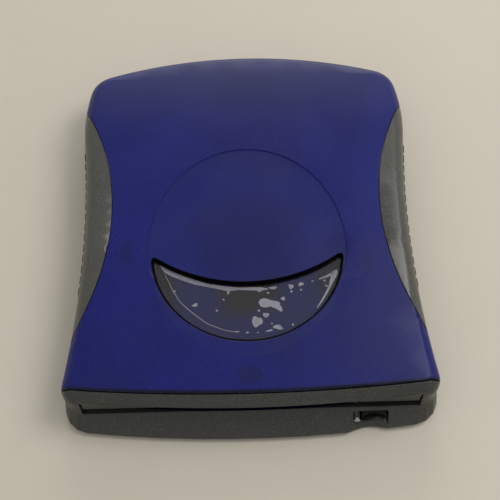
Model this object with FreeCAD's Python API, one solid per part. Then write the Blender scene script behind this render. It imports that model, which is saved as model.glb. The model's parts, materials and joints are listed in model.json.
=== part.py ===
import FreeCAD, Part
import math
import os

# A flat desktop drive for removable disk cartridges, lying on its rubber feet.
# Millimetres, +Z up, the slot faces -Y, +X is to the right seen from the slot.
# The origin lies on the table, under the middle of the case.

vec = FreeCAD.Vector
along_x = vec(1, 0, 0)
along_y = vec(0, 1, 0)
along_z = vec(0, 0, 1)

# Reach of cutting blocks, well beyond the case
far = 80.0
high = 40.0
deep = -5.0

# Case outline seen from above: bowed front, pinched waist, hips, bowed rear
front_y = -61.6
front_bow_radius = 443.0
front_corner_radius = 5.4
waist_half_width = 51.4
waist_y = -1.0
waist_radius = 300.0
hip_y = 39.5
hip_radius = 70.0
rear_corner_radius = 9.5
rear_y = 66.6
rear_bow_radius = 160.0

# Crown of the lid: station along Y, height on the middle line, drop at 50 mm off it
crown_stations = (
    (-80.0, 14.6, 0.6),
    (-58.0, 17.3, 0.6),
    (-36.0, 19.1, 1.2),
    (-10.0, 20.3, 1.5),
    (16.0, 20.5, 1.5),
    (40.0, 19.9, 1.4),
    (56.0, 18.7, 1.3),
    (76.0, 16.2, 1.2),
)
crown_drop_at = 50.0
crown_reach = 70.0
crown_strips = 4
shoulder_radius = 4.8
wide_band = 0.586
narrow_band = 0.2
inner_step = 1.9
outline_step = 12.0
least_steps = 3
bow_steps = 9
corner_steps = 4

# Walls, seams and heights of the case
underside_z = 1.0
wall = 1.6
floor_wall = 1.3
split_z = 7.0
seam_gap = 0.3
bottom_edge = 1.2
floor_top = underside_z + floor_wall

# Seam between the lid and the front bezel, an arc seen from above
seam_y = -59.2
seam_radius = 334.0

# Clearances: parts that run in each other, and free gaps
running_gap = 0.05
free_gap = 0.3

# Flat sides given to small round pieces that repeat
screw_sides = 6
post_sides = 12
pin_sides = 16
shaft_sides = 24
disc_sides = 36

# Cartridge that the drive takes, and the bay that it slides in
cartridge_width = 98.0
cartridge_hub_from_rear = 49.3
bay_clearance = 0.4
bay_floor = 6.55
bay_half_width = cartridge_width / 2 + bay_clearance
slot_half_width = bay_half_width + 0.8
slot_lip_z = 6.5
slot_top_z = 14.2
loaded_rear_y = 41.6
load_travel = 12.0
load_rise = 2.0

# Front bezel: chin that slopes forward under the slot, and tabs back to the case screws
chin_front_y = -66.5
chin_foot_z = 1.9
chin_edge = 0.6
chin_bow_radius = 400.0
chin_corner_radius = 8.0
lip_y = -59.5
lip_bow_radius = 9000.0
lip_corner_radius = 6.0
cheek_top_z = 9.5
shelf_thickness = 0.9
bezel_back_y = -50.0
tab_thickness = 1.0
tab_half_width = 1.7
tab_root = 3.0

# Dish and crescent window in the lid
dish_y = -11.4
dish_half_width = 30.9
dish_half_length = 36.1
dish_depth = 0.35
window_radius = 29.8
window_y = -12.3
window_tip_x = 29.0
window_upper_y = -22.9
window_tip_radius = 1.3
window_least_radius = 0.3
window_gap = 0.35
window_collar = 1.0
window_collar_depth = 0.9
lens_top_z = 17.6
lens_thickness = 1.0
lens_ledge = 1.0
ledge_root = 0.2
film_thickness = 0.15
film_margin = 1.2
upper_steps = 3
lens_bottom_z = lens_top_z - lens_thickness

# Ribs inside the lid: two hooks and a half-round clip over the front edge of the shield
hook_places = ((-37.2, -12.0), (37.2, -18.0))
hook_width = 2.6
hook_length = 8.4
hook_corner = 0.8
hook_gap = 1.2
clip_y = -55.0
clip_radius = 4.4
clip_gap = 0.9

# Side panels: lens shapes cut by upright cylinders, with flanges and ribbed rubber strips
grip_reach_x = 42.6
grip_y = 2.6
grip_cut_radius = 84.0
grip_bottom_z = 3.1
grip_flange_thickness = 0.7
grip_flange_reach = 1.2
grip_flange_low_z = 14.8
grip_flange_half_length = 9.0
pad_from_y = -25.0
pad_to_y = 31.0
pad_low_z = 4.6
pad_high_z = 13.4
pad_corner = 2.5
pad_proud = 0.5
pad_depth = 0.7
pad_rib_pitch = 3.8
pad_rib_groove = 1.5
pad_groove_depth = 0.45

# Rubber feet, and the screws that hold lid, bezel and tray together
foot_radius = 4.5
foot_edge = 0.4
foot_places = ((-42.0, -50.0), (42.0, -50.0), (-38.0, 46.0), (38.0, 46.0))
front_screw_places = ((-52.0, -50.6), (52.0, -50.6))
rear_screw_places = ((-46.6, 50.0), (46.6, 50.0))
screw_radius = 1.0
screw_head_radius = 1.6
screw_head_height = 1.1
screw_seat_depth = 0.6
screw_length = 9.0
screw_hole_gap = 0.1
boss_radius = 2.3
lid_boss_radius = 2.4

# Dust flap behind the slot, hung from a pin
flap_thickness = 1.1
flap_front_y = -58.25
flap_bottom_z = 7.9
flap_edge = 0.35
flap_pivot_y = -57.8
flap_pivot_z = 13.35
flap_barrel_radius = 0.6
flap_rib_z = 10.5
flap_rib_height = 0.6
flap_rib_depth = 0.5
flap_pin_radius = 0.35
flap_pin_grip = 1.3
flap_half_width = slot_half_width - free_gap
flap_room_y = -54.6
flap_room_z = 14.8

# Eject button, its spring and its switch
aperture_left = 30.3
aperture_right = 40.9
aperture_low = 2.75
aperture_high = 5.85
aperture_corner = 0.7
button_left = 32.75
button_gap = 0.2
button_corner = 0.5
button_inset = 0.7
button_back_y = -57.6
button_scoop_radius = 6.0
button_scoop_depth = 0.8
button_flange_reach = 0.3
button_flange_y = -58.1
button_flange_thickness = 0.5
button_flange_drop = 0.6
button_stem_half_width = 1.2
button_stem_end_y = -55.9
button_stem_low = 3.25
button_stem_high = 4.75
spring_leaf_x = 34.0
spring_leaf_swing = 0.8
spring_leaf_slant = 0.35
spring_leaf_low = 3.4
spring_leaf_high = 4.9
spring_leaf_bends = 5
spring_stop_y = -55.0
spring_stop_thickness = 0.7
spring_stop_half_width = 1.2
switch_y = -53.9
switch_half_width = 2.2
switch_length = 3.5
switch_height = 2.3
switch_tip_half_width = 0.8
switch_tip_length = 0.3

# Light pipe beside the button, the bezel's web over it, and the lamp on the board
pipe_x = 31.5
pipe_z = 3.55
pipe_radius = 0.75
pipe_recess = 1.4
pipe_end_y = -51.7
pipe_web_half_width = 0.7
pipe_web_rear_y = -58.8
pipe_web_inset = 0.5
lamp_radius = 0.9
lamp_dome_length = 0.4
lamp_half_width = 1.2
lamp_length = 2.8
lamp_gap = 0.1

# Thumb hollow in the chin, under the button
scallop_x = 35.6
scallop_radius = 13.0
scallop_bite = 1.5
scallop_lean = 26.0
scallop_length = 20.0

# Sliding platform that carries the spindle motor and the head actuator
deck_bottom = 3.75
deck_thickness = 0.7
deck_front_y = -36.0
deck_wide_rear_y = 27.5
deck_half_width = 43.6
deck_tail_half_width = 27.0
deck_rear_y = 50.8
deck_corner = 2.2
deck_opening_x = 32.0
deck_opening_half_width = 6.0
deck_opening_from_y = -12.0
deck_opening_to_y = 14.0
deck_opening_corner = 2.0
deck_top = deck_bottom + deck_thickness
ear_half_length = 1.6

# Guide rails beside the bay, with sloped slots that lift the platform
rail_gap = 0.9
rail_web = 1.2
rail_inner_x = deck_half_width + rail_gap
rail_ledge_x = bay_half_width - 0.2
rail_ledge_height = 1.0
rail_front_y = -50.0
rail_ledge_front_y = -55.2
rail_rear_y = 47.4
rail_post_x = 49.9
rail_post_width = 1.0
rail_front_post = (-47.6, -43.6)
rail_rear_post = (43.0, 46.8)
rail_foot_x1 = 48.4
rail_foot_places = (-34.0, 36.0)
rail_foot_half_length = 2.5
rail_foot_thickness = 1.0
ramp_pin_radius = 0.6
ramp_pin_gap = 0.1
ramp_pin_z = 3.35
ramp_pin_places = (-28.0, 18.0)

# Spindle motor: stator plate, coils, rotor, hub magnet, shaft
motor_radius = 12.8
motor_rim = 1.5
motor_bottom_z = floor_top + 0.35
bearing_radius = 3.0
bearing_top_z = 5.0
bearing_floor = 0.4
coil_count = 9
coil_ring_radius = 6.6
coil_radius = 1.9
stator_coil_height = 0.75
rotor_radius = 11.4
rotor_bottom_z = deck_top + free_gap
rotor_height = 1.2
rotor_edge = 0.35
rotor_well_radius = 3.4
rotor_well_depth = 0.4
hub_magnet_radius = 8.4
hub_magnet_hole_radius = 3.0
hub_magnet_height = 0.45
shaft_radius = 1.5
shaft_clearance = 0.15
spindle_y = loaded_rear_y - cartridge_hub_from_rear - load_travel

# Head actuator at the rear of the platform
bumper_top_z = 10.75
bumper_inner_x = 4.6
bumper_outer_x = 24.0
bracket_outer_x = 22.9
bracket_thickness = 0.7
bumper_y = loaded_rear_y - load_travel
actuator_front_y = bumper_y + bracket_thickness
actuator_rear_y = deck_rear_y - bracket_thickness
guide_rod_x = 7.0
guide_rod_radius = 0.9
guide_rod_z = 7.95
carriage_length = 4.4
carriage_half_height = 2.0
carriage_half_width = 11.0
carriage_well_half_width = 3.4
carriage_front_rail = 1.4
carriage_rear_rail = 1.2
carriage_nose_half_width = 2.6
carriage_nose_length = 2.4
carriage_nose_drop = 0.5
carriage_rear_y = actuator_rear_y - free_gap
carriage_front_y = carriage_rear_y - carriage_length
coil_width = 8.0
coil_height = 6.2
coil_corner = 0.9
coil_side_wall = 2.2
coil_top_wall = 1.4
coil_setback = 0.4
yoke_gap = 0.3
magnet_thickness = 1.6
magnet_half_height = 2.7
magnet_end_gap = 0.4
yoke_thickness = 1.3
yoke_top_z = 10.85
arm_thickness = 0.2
arm_length = 13.2
arm_root_half_width = 2.2
arm_root_length = 2.2
arm_tip_half_width = 0.9
arm_root_gap = 0.3
slider_half_width = 0.8
slider_height = 0.5
slider_length = 1.6
slider_setback = 0.2

# Springs that push the platform forward, each between its deck edge and a post
platform_spring_x = 33.0
platform_spring_z = 3.95
platform_spring_radius = 0.45
platform_spring_wire = 0.12
platform_spring_turns = 4
platform_spring_bends = 4
spring_post_y = 41.6
spring_post_thickness = 1.0
spring_post_half_width = 1.2
spring_post_top_z = 5.0

# Main board under the platform, with a window for the motor
board_thickness = 0.8
board_pad_height = 0.2
board_pad_radius = 1.8
board_half_width = 42.3
board_front_y = -54.0
board_side_rear_y = 41.2
board_rear_y = 58.0
board_rear_left_x = -24.0
board_corner = 1.0
board_window_gap = 0.8
board_window_corner = 3.0
board_notch_gap = 0.2
board_pad_places = ((-38.0, -51.0), (26.4, -51.5), (-39.0, 38.0), (39.5, 38.0), (0.0, 46.0))
board_bottom = floor_top + board_pad_height
board_top = board_bottom + board_thickness
chip_places = (
    (-23.0, -44.4, 12.0, 12.0, 1.4),
    (-7.0, -46.0, 9.0, 9.0, 1.1),
    (8.0, -46.5, 8.0, 11.0, 1.1),
    (19.0, -46.0, 5.0, 7.0, 1.2),
    (-33.4, -44.6, 3.6, 9.0, 1.1),
)

# Data socket in the rear wall, standing on the board
socket_x = 36.0
socket_width = 12.0
socket_height = 10.2
socket_depth = 15.5
socket_chamfer = 1.2
socket_wall_gap = 0.35
socket_mouth_width = 8.5
socket_mouth_height = 7.8
socket_mouth_depth = 9.0
socket_mouth_chamfer = 1.6
tongue_width = 5.6
tongue_height = 3.2
tongue_length = 7.6

# Metal shield over the bay, on the posts of the guide rails
shield_z = 13.9
shield_thickness = 0.5
shield_half_width = 48.4
shield_ear_x = 50.8
shield_ear_rear_y = -43.4
shield_neck_y = -40.4
shield_front_y = -49.8
shield_rear_y = 50.0
shield_window = (-17.0, 17.0, -37.0, -24.0)
shield_window_corner = 2.0
shield_boss_gap = 0.5
shield_rib_half_length = 30.0
shield_rib_width = 4.0
shield_rib_height = 0.5
shield_rib_root = 0.2
shield_rib_places = (14.0, 28.0)

# Eject latch: lever on a pin, hooked behind the platform's post by the solenoid
latch_x = -33.5
latch_y = 50.0
latch_z = 6.9
latch_thickness = 1.2
latch_hub_radius = 2.0
latch_tip_x = -28.1
latch_tip_y = 58.7
latch_tip_radius = 0.6
latch_root_half_width = 1.6
latch_swing = 20.0
latch_tail_length = 4.0
latch_tail_radius = 1.1
latch_pin_radius = 0.8
latch_pin_head_radius = 1.5
latch_pin_head_height = 0.5
latch_head_gap = 0.2
latch_boss_radius = 2.2
latch_boss_gap = 0.3
post_x = -25.4
post_y = 46.2
post_radius = 1.1
post_height = 4.6
solenoid_x = -40.6
solenoid_length = 7.0
solenoid_width = 5.2
solenoid_top_z = 8.7
solenoid_edge = 0.8
solenoid_back_wall = 1.0
plunger_z = 5.55
plunger_radius = 0.9
plunger_gap = 0.1
plunger_inset = 1.6
plunger_nose = 0.9
link_pin_radius = 0.4
link_pin_gap = 0.1
link_pin_proud = 0.3

nodes = {}


def unit(v):
    return FreeCAD.Vector(v).normalize()


def mirrored_point(p):
    return vec(-p.x, p.y, p.z)


def box(x0, x1, y0, y1, z0, z1):
    return Part.makeBox(x1 - x0, y1 - y0, z1 - z0, vec(x0, y0, z0))


def rod(x, y, z, radius, length, axis=along_z):
    return Part.makeCylinder(radius, length, vec(x, y, z), axis)


def post(x, y, z, radius, length, sides, axis=along_z):
    """A straight bar with flat sides, for what is small and round and repeats."""
    swing = FreeCAD.Rotation(along_z, axis)
    corners = []
    for i in range(sides):
        turn = 2 * math.pi * (i + 0.5) / sides
        corner = vec(radius * math.cos(turn), radius * math.sin(turn), 0)
        corners.append(vec(x, y, z) + swing.multVec(corner))
    face = Part.Face(Part.makePolygon(corners + corners[:1]))
    return face.extrude(axis * length)


def mirrored(shape):
    return shape.mirror(vec(0, 0, 0), along_x)


def edges_along(shape, direction):
    """The straight edges of a block that run along one axis."""
    found = []
    for e in shape.Edges:
        line = e.Vertexes[-1].Point - e.Vertexes[0].Point
        if line.Length > 0 and line.cross(direction).Length < line.Length * 1e-6:
            found.append(e)
    return found


def upright(shape, radius):
    """Round a prism's upright edges."""
    return shape.makeFillet(radius, edges_along(shape, along_z))


def bevelled(shape, size, direction=along_z):
    """Bevel a block's straight edges that run along one axis."""
    return shape.makeChamfer(size, edges_along(shape, direction))


def prism(points, z0, z1):
    corners = [vec(x, y, z0) for x, y in points]
    face = Part.Face(Part.makePolygon(corners + corners[:1]))
    return face.extrude(vec(0, 0, z1 - z0))


def bar(a, b, half_a, half_b, z0, z1):
    """A flat bar between two points, with its own half width at each end."""
    line = unit(vec(b[0] - a[0], b[1] - a[1], 0))
    square = vec(-line.y, line.x, 0)
    start = vec(a[0], a[1], 0)
    end = vec(b[0], b[1], 0)
    corners = (
        start + square * half_a,
        end + square * half_b,
        end - square * half_b,
        start - square * half_a,
    )
    return prism([(c.x, c.y) for c in corners], z0, z1)


def circles_meet(a, reach_a, b, reach_b, near):
    """Where two circles meet, on the side of a given point."""
    distance = (b - a).Length
    along = (reach_a**2 - reach_b**2 + distance**2) / (2 * distance)
    across = math.sqrt(reach_a**2 - along**2)
    line = unit(b - a)
    square = vec(-line.y, line.x, 0)
    meetings = [a + line * along + square * across, a + line * along - square * across]
    return min(meetings, key=lambda p: (p - near).Length)


def arc(start, end, centre):
    middle = centre + unit((start + end) * 0.5 - centre) * (start - centre).Length
    return Part.Arc(start, middle, end).toShape()


def arc_points(start, end, centre, count):
    """Points along an arc at equal steps, without its end."""
    reach = start - centre
    turn = math.degrees(reach.getAngle(end - centre)) / count
    step = FreeCAD.Rotation(reach.cross(end - centre), turn)
    points = []
    for _ in range(count):
        points.append(centre + reach)
        reach = step.multVec(reach)
    return points


# Centres of the outline's arcs on the right-hand side
waist_centre = vec(waist_half_width + waist_radius, waist_y, 0)
hip_offset = math.sqrt((waist_radius + hip_radius) ** 2 - (hip_y - waist_y) ** 2)
hip_centre = vec(waist_centre.x - hip_offset, hip_y, 0)
rear_centre = vec(0, rear_y - rear_bow_radius, 0)
rear_corner_centre = circles_meet(
    hip_centre,
    hip_radius - rear_corner_radius,
    rear_centre,
    rear_bow_radius - rear_corner_radius,
    vec(waist_half_width, rear_y, 0),
)


def front_corner(bow_y, bow_radius, corner_radius, inset):
    """Centre of the bow, centre of the corner, and where the corner starts and ends."""
    bow_centre = vec(0, bow_y + bow_radius, 0)
    near = vec(waist_half_width, bow_y, 0)
    corner = circles_meet(
        waist_centre, waist_radius + corner_radius, bow_centre, bow_radius - corner_radius, near
    )
    radius = corner_radius - inset
    start = corner + unit(corner - bow_centre) * radius
    end = corner + unit(waist_centre - corner) * radius
    return bow_centre, corner, start, end


def outline_arcs(inset):
    """The arcs of the case outline drawn in by an inset: start, end and centre of each."""
    bow_centre, corner, p1, p2 = front_corner(
        front_y, front_bow_radius, front_corner_radius, inset
    )
    p3 = hip_centre + unit(waist_centre - hip_centre) * (hip_radius - inset)
    rear_radius = rear_corner_radius - inset
    p4 = rear_corner_centre + unit(rear_corner_centre - hip_centre) * rear_radius
    p5 = rear_corner_centre + unit(rear_corner_centre - rear_centre) * rear_radius
    side = [
        (p1, p2, corner),
        (p2, p3, waist_centre),
        (p3, p4, hip_centre),
        (p4, p5, rear_corner_centre),
    ]
    arcs = [(mirrored_point(p1), p1, bow_centre)] + side
    arcs.append((p5, mirrored_point(p5), rear_centre))
    for a, b, c in reversed(side):
        arcs.append((mirrored_point(b), mirrored_point(a), mirrored_point(c)))
    return arcs


def outline(inset, z):
    """The closed case outline at a height, drawn in by an inset."""
    up = vec(0, 0, z)
    return Part.Wire([arc(a + up, b + up, c + up) for a, b, c in outline_arcs(inset)])


def stepped_outline(inset, z):
    """The same outline with straight steps, for walls that face inwards."""
    up = vec(0, 0, z)
    corners = []
    for a, b, c in outline_arcs(inset):
        count = max(least_steps, round((b - a).Length / outline_step))
        corners += [p + up for p in arc_points(a, b, c, count)]
    return Part.makePolygon(corners + corners[:1])


def stepped_crown(inset):
    """The same block with a top of flat strips, for the lid's hidden inner side."""
    sections = []
    for y, height, drop in crown_stations:
        points = [vec(-crown_reach, y, deep), vec(crown_reach, y, deep)]
        for i in range(crown_strips + 1):
            x = crown_reach * (1 - 2 * i / crown_strips)
            points.append(vec(x, y, height - inset - drop * (x / crown_drop_at) ** 2))
        sections.append(Part.makePolygon(points + points[:1]))
    return Part.makeLoft(sections, True, True)


def crown(inset):
    """A block whose top is the lid's crowned surface, lowered by an inset."""
    sections = []
    for y, height, drop in crown_stations:
        middle = height - inset
        side = middle - drop * (crown_reach / crown_drop_at) ** 2
        a = vec(-crown_reach, y, deep)
        b = vec(crown_reach, y, deep)
        c = vec(crown_reach, y, side)
        d = vec(-crown_reach, y, side)
        top = Part.Arc(c, vec(0, y, middle), d).toShape()
        base = Part.LineSegment(a, b).toShape()
        right = Part.LineSegment(b, c).toShape()
        left = Part.LineSegment(d, a).toShape()
        sections.append(Part.Wire([base, right, top, left]))
    return Part.makeLoft(sections, True, True)


def shoulder_edges(solid):
    """The edges that run round the top of a case form."""
    edges = []
    for e in solid.Edges:
        b = e.BoundBox
        if b.ZMin > split_z and b.ZLength < slot_lip_z:
            edges.append(e)
    return edges


def envelope():
    """The case's outer form, its shoulder rounded in three bands."""
    column = Part.Face(outline(0, underside_z)).extrude(vec(0, 0, high))
    solid = column.common(crown(0)).Solids[0]
    solid = solid.makeChamfer(shoulder_radius * wide_band, shoulder_edges(solid))
    return solid.makeChamfer(shoulder_radius * narrow_band, shoulder_edges(solid))


def hollow(inset, bottom):
    """The case drawn in by an inset, stepped under the shoulder to keep its thickness."""
    low = Part.Face(stepped_outline(inset, bottom)).extrude(vec(0, 0, high))
    top = Part.Face(stepped_outline(inset + inner_step, bottom)).extrude(vec(0, 0, high))
    low = low.common(stepped_crown(inset + inner_step))
    return low.fuse(top.common(stepped_crown(inset))).removeSplitter()


def behind_seam(gap):
    """Everything behind the seam arc of lid and bezel."""
    return rod(0, seam_y + seam_radius, deep, seam_radius - gap, high - deep)


def grip_cylinders(gap, z0, z1):
    """The upright cylinders that cut the two lens-shaped side panels."""
    radius = grip_cut_radius + gap
    right = rod(grip_reach_x + grip_cut_radius, grip_y, z0, radius, z1 - z0)
    return right.fuse(mirrored(right))


case = envelope()
case_inside = hollow(wall, floor_top)
half_skin = hollow(wall / 2, underside_z)


def window_tip_y():
    return window_y - math.sqrt(window_radius**2 - window_tip_x**2)


def window_upper_radius():
    sag = window_tip_y() - window_upper_y
    return (window_tip_x**2 + sag**2) / (2 * sag)


def crescent(margin, z0, z1):
    """The smile-shaped prism of the window, drawn in by a margin."""
    upper = window_upper_radius()
    outer = rod(0, window_y, z0, window_radius - margin, z1 - z0)
    bite = rod(0, window_upper_y + upper, z0, upper + margin, z1 - z0)
    shape = outer.cut(bite).Solids[0]
    return upright(shape, max(window_tip_radius - margin, window_least_radius))


def dish():
    """The oval that is sunk into the lid round the window."""
    centre = vec(0, dish_y, 0)
    end = centre + along_y * dish_half_length
    oval = Part.Ellipse(end, centre + along_x * dish_half_width, centre)
    column = Part.Face(Part.Wire(oval.toShape())).extrude(vec(0, 0, high))
    front = box(-far, far, -far, window_tip_y(), 0, high)
    lower = rod(0, window_y, 0, window_radius + window_gap, high).common(front)
    return column.cut(front).fuse(lower).removeSplitter()


def socket_mouth_y():
    """Where the socket's mouth lies, just inside the bowed rear wall."""
    reach = socket_x + socket_width / 2
    return rear_centre.y + math.sqrt(rear_bow_radius**2 - reach**2)


def socket_hole():
    half = socket_width / 2 + socket_wall_gap
    low = board_top - socket_wall_gap
    top = board_top + socket_height + socket_wall_gap
    front = socket_mouth_y() - socket_depth / 2
    return box(socket_x - half, socket_x + half, front, far, low, top)


def lid_bosses():
    """Posts that hang from the lid, onto the bezel's tabs and the tray's posts."""
    bosses = []
    for x, y in front_screw_places:
        bosses.append(post(x, y, split_z + tab_thickness, lid_boss_radius, high, post_sides))
    for x, y in rear_screw_places:
        bosses.append(post(x, y, split_z, lid_boss_radius, high, post_sides))
    return bosses


def lid_ribs():
    """Two hooks and a half-round clip under the lid."""
    ribs = []
    for x, y in hook_places:
        half_x = hook_width / 2
        half_y = hook_length / 2
        block = box(x - half_x, x + half_x, y - half_y, y + half_y, shield_z + hook_gap, high)
        ribs.append(bevelled(block, hook_corner))
    clip = rod(0, clip_y, slot_top_z + clip_gap, clip_radius, high)
    ribs.append(clip.cut(box(-far, far, -far, clip_y, 0, high * 2)))
    return ribs


def top_shell():
    lid = case.cut(case_inside)
    lid = lid.cut(dish().cut(crown(dish_depth)))
    collar_bottom = lens_bottom_z - window_collar_depth
    lid = lid.fuse(stepped_crescent(-window_collar, collar_bottom, high).common(half_skin))
    lid = lid.cut(crescent(0, 0, high))
    ledge = crescent(-ledge_root, collar_bottom, lens_bottom_z)
    lid = lid.fuse(ledge.cut(stepped_crescent(lens_ledge, 0, high))).removeSplitter()
    for piece in lid_bosses() + lid_ribs():
        lid = lid.fuse(piece.common(half_skin))
    lid = lid.common(behind_seam(seam_gap / 2))
    lid = lid.common(box(-far, far, -far, far, split_z, high))
    lid = lid.cut(grip_cylinders(seam_gap, 0, high))
    half = slot_half_width
    lid = lid.cut(box(-half, half, -far, flap_room_y, split_z, flap_room_z))
    screw_top = underside_z + screw_seat_depth + screw_length
    for x, y in front_screw_places + rear_screw_places:
        lid = lid.cut(post(x, y, 0, screw_radius, screw_top, screw_sides))
    return lid.cut(socket_hole())


def base_tray():
    tray = case.cut(case_inside)
    tray = tray.common(box(-far, far, -far, far, 0, split_z))
    rim = [e for e in tray.Edges if e.BoundBox.ZMax < underside_z + 0.01]
    tray = tray.makeChamfer(bottom_edge, rim)
    tray = tray.cut(grip_cylinders(seam_gap, grip_bottom_z, high))
    post_bottom = underside_z + floor_wall / 2
    for x, y in front_screw_places + rear_screw_places:
        boss = post(x, y, post_bottom, boss_radius, split_z - post_bottom, post_sides)
        tray = tray.fuse(boss.common(case))
    for x, y in board_pad_places:
        pad = post(x, y, post_bottom, board_pad_radius, board_bottom - post_bottom, screw_sides)
        tray = tray.fuse(pad)
    boss_top = latch_z - latch_boss_gap
    boss_height = boss_top - post_bottom
    tray = tray.fuse(post(latch_x, latch_y, post_bottom, latch_boss_radius, boss_height, pin_sides))
    tray = tray.fuse(spring_posts(post_bottom)).fuse(button_spring_stop(post_bottom))
    tray = tray.common(behind_seam(seam_gap / 2))
    seat_top = underside_z + screw_seat_depth + screw_head_height
    for x, y in front_screw_places + rear_screw_places:
        tray = tray.cut(post(x, y, 0, screw_radius + screw_hole_gap, high, screw_sides))
        tray = tray.cut(post(x, y, 0, screw_head_radius + screw_hole_gap, seat_top, post_sides))
    hole_radius = latch_pin_radius + running_gap
    tray = tray.cut(post(latch_x, latch_y, floor_top, hole_radius, high, pin_sides))
    return tray.cut(socket_hole())


def spring_posts(z0):
    """The two posts behind the platform's springs."""
    half = spring_post_half_width
    y1 = spring_post_y + spring_post_thickness
    x = platform_spring_x
    right = box(x - half, x + half, spring_post_y, y1, z0, spring_post_top_z)
    return right.fuse(mirrored(right))


def button_spring_stop(z0):
    """The small wall behind the button's spring."""
    half = spring_stop_half_width
    y1 = spring_stop_y + spring_stop_thickness
    x = spring_leaf_x
    return box(x - half, x + half, spring_stop_y, y1, z0, spring_leaf_high)


def bezel_section(bow_y, bow_radius, corner_radius, z):
    """A closed section of the bezel at a height, in straight steps, straight at the rear."""
    bow_centre, corner, p1, p2 = front_corner(bow_y, bow_radius, corner_radius, 0)
    back_x = waist_centre.x - math.sqrt(waist_radius**2 - (bezel_back_y - waist_y) ** 2)
    front = arc_points(mirrored_point(p1), p1, bow_centre, bow_steps)
    right = arc_points(p1, p2, corner, corner_steps) + [p2, vec(back_x, bezel_back_y, 0)]
    left = [mirrored_point(p) for p in reversed(right)]
    points = [p + vec(0, 0, z) for p in front[1:] + right + left]
    return Part.makePolygon(points + points[:1])


def chin(setback):
    """The front under the slot: an upright foot, then a slope up to the slot's lip."""
    low = bezel_section(chin_front_y, chin_bow_radius, chin_corner_radius, underside_z)
    foot = Part.Face(low).extrude(vec(0, 0, chin_foot_z - underside_z))
    bend = bezel_section(chin_front_y, chin_bow_radius, chin_corner_radius, chin_foot_z)
    lip = bezel_section(lip_y, lip_bow_radius, lip_corner_radius, slot_lip_z)
    return foot.fuse(Part.makeLoft([bend, lip], True, True)).translated(vec(0, setback, 0))


def slope_depth(thickness):
    """How far a wall of that thickness reaches to the rear through the slope."""
    rise = slot_lip_z - chin_foot_z
    return thickness * math.hypot(lip_y - chin_front_y, rise) / rise


def bezel_tab(side):
    """A tab under the lid, through which a front case screw goes."""
    x = side * front_screw_places[1][0]
    y = front_screw_places[1][1]
    front = seam_y + tab_root
    z1 = split_z + tab_thickness
    tab = box(x - tab_half_width, x + tab_half_width, front, y, split_z, z1)
    tab = tab.fuse(post(x, y, split_z, tab_half_width, tab_thickness, post_sides))
    return tab.cut(post(x, y, 0, screw_radius + screw_hole_gap, high, screw_sides))


def front_bezel():
    outer = chin(0)
    lip = bezel_section(lip_y, lip_bow_radius, lip_corner_radius, slot_lip_z)
    cheek = bezel_section(front_y, front_bow_radius, front_corner_radius, cheek_top_z)
    outer = outer.fuse(Part.makeLoft([lip, cheek], True, True))
    outer = outer.fuse(case.common(box(-far, far, -far, bezel_back_y, cheek_top_z, high)))
    outer = outer.removeSplitter()
    rim = []
    for e in outer.Edges:
        b = e.BoundBox
        if b.ZMax < underside_z + 0.01 and b.YMin < bezel_back_y - 0.1:
            rim.append(e)
    outer = outer.makeChamfer(chin_edge, rim)
    outer = outer.cut(behind_seam(-seam_gap / 2))
    half = slot_half_width
    middle = box(-half, half, -far, 0, floor_top, slot_lip_z - shelf_thickness)
    bezel = outer.cut(chin(slope_depth(wall)).common(middle))
    bezel = bezel.cut(case_inside.common(box(-half, half, -far, 0, slot_top_z - wall, high)))
    bezel = bezel.cut(box(-half, half, -far, 0, slot_lip_z, slot_top_z))
    for side in (-1, 1):
        bezel = bezel.fuse(bezel_tab(side))
    half = slot_half_width + flap_pin_grip
    radius = flap_pin_radius + running_gap
    hole = post(-half, flap_pivot_y, flap_pivot_z, radius, 2 * half, pin_sides, along_x)
    bezel = bezel.cut(hole)
    opening = box(aperture_left, aperture_right, -far, bezel_back_y, aperture_low, aperture_high)
    bezel = bezel.cut(opening.makeFillet(aperture_corner, edges_along(opening, along_y)))
    return bezel.cut(scallop()).fuse(pipe_web())


def pipe_web():
    """The narrow web of the bezel that clips over the light pipe."""
    half = pipe_web_half_width
    web = box(pipe_x - half, pipe_x + half, -far, pipe_web_rear_y, pipe_z, aperture_high + free_gap)
    web = web.common(chin(pipe_web_inset))
    return web.cut(rod(pipe_x, -far, pipe_z, pipe_radius, far, along_y))


def scallop():
    """The thumb hollow under the eject button, a leaning cylinder."""
    lean = math.radians(scallop_lean)
    axis = vec(0, math.sin(lean), math.cos(lean))
    y = chin_front_y + scallop_bite - scallop_radius
    foot = vec(scallop_x, y, underside_z) - axis * (scallop_length / 2)
    return Part.makeCylinder(scallop_radius, scallop_length, foot, axis)


def stepped_crescent(margin, z0, z1):
    """The same form with straight steps and sharp tips, for faces that look inwards."""
    upper = window_upper_radius() + margin
    y = window_upper_y + window_upper_radius()
    outer = post(0, window_y, z0, window_radius - margin, z1 - z0, disc_sides)
    bite = post(0, y, z0, upper, z1 - z0, disc_sides * upper_steps)
    return outer.cut(bite).Solids[0]


def window_lens():
    return crescent(window_gap, lens_bottom_z, lens_top_z)


def window_film():
    return stepped_crescent(film_margin, lens_bottom_z - film_thickness, lens_bottom_z)


def side_grip():
    """A lens-shaped panel of the case's skin, with a flange under the lid."""
    inner = hollow(wall, underside_z)
    panel = rod(grip_reach_x + grip_cut_radius, grip_y, 0, grip_cut_radius, high)
    skin = case.cut(inner).common(panel)
    skin = skin.common(box(0, far, -far, far, grip_bottom_z, high))
    reach = grip_cut_radius + grip_flange_reach
    wider = rod(grip_reach_x + grip_cut_radius, grip_y, grip_flange_low_z, reach, high)
    flange = inner.cut(hollow(wall + grip_flange_thickness, underside_z)).common(wider)
    half = grip_flange_half_length
    flange = flange.common(box(0, far, -half, half, grip_flange_low_z, high))
    return skin.cut(pad_form(0.0)).fuse(flange).Solids[0]


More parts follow.
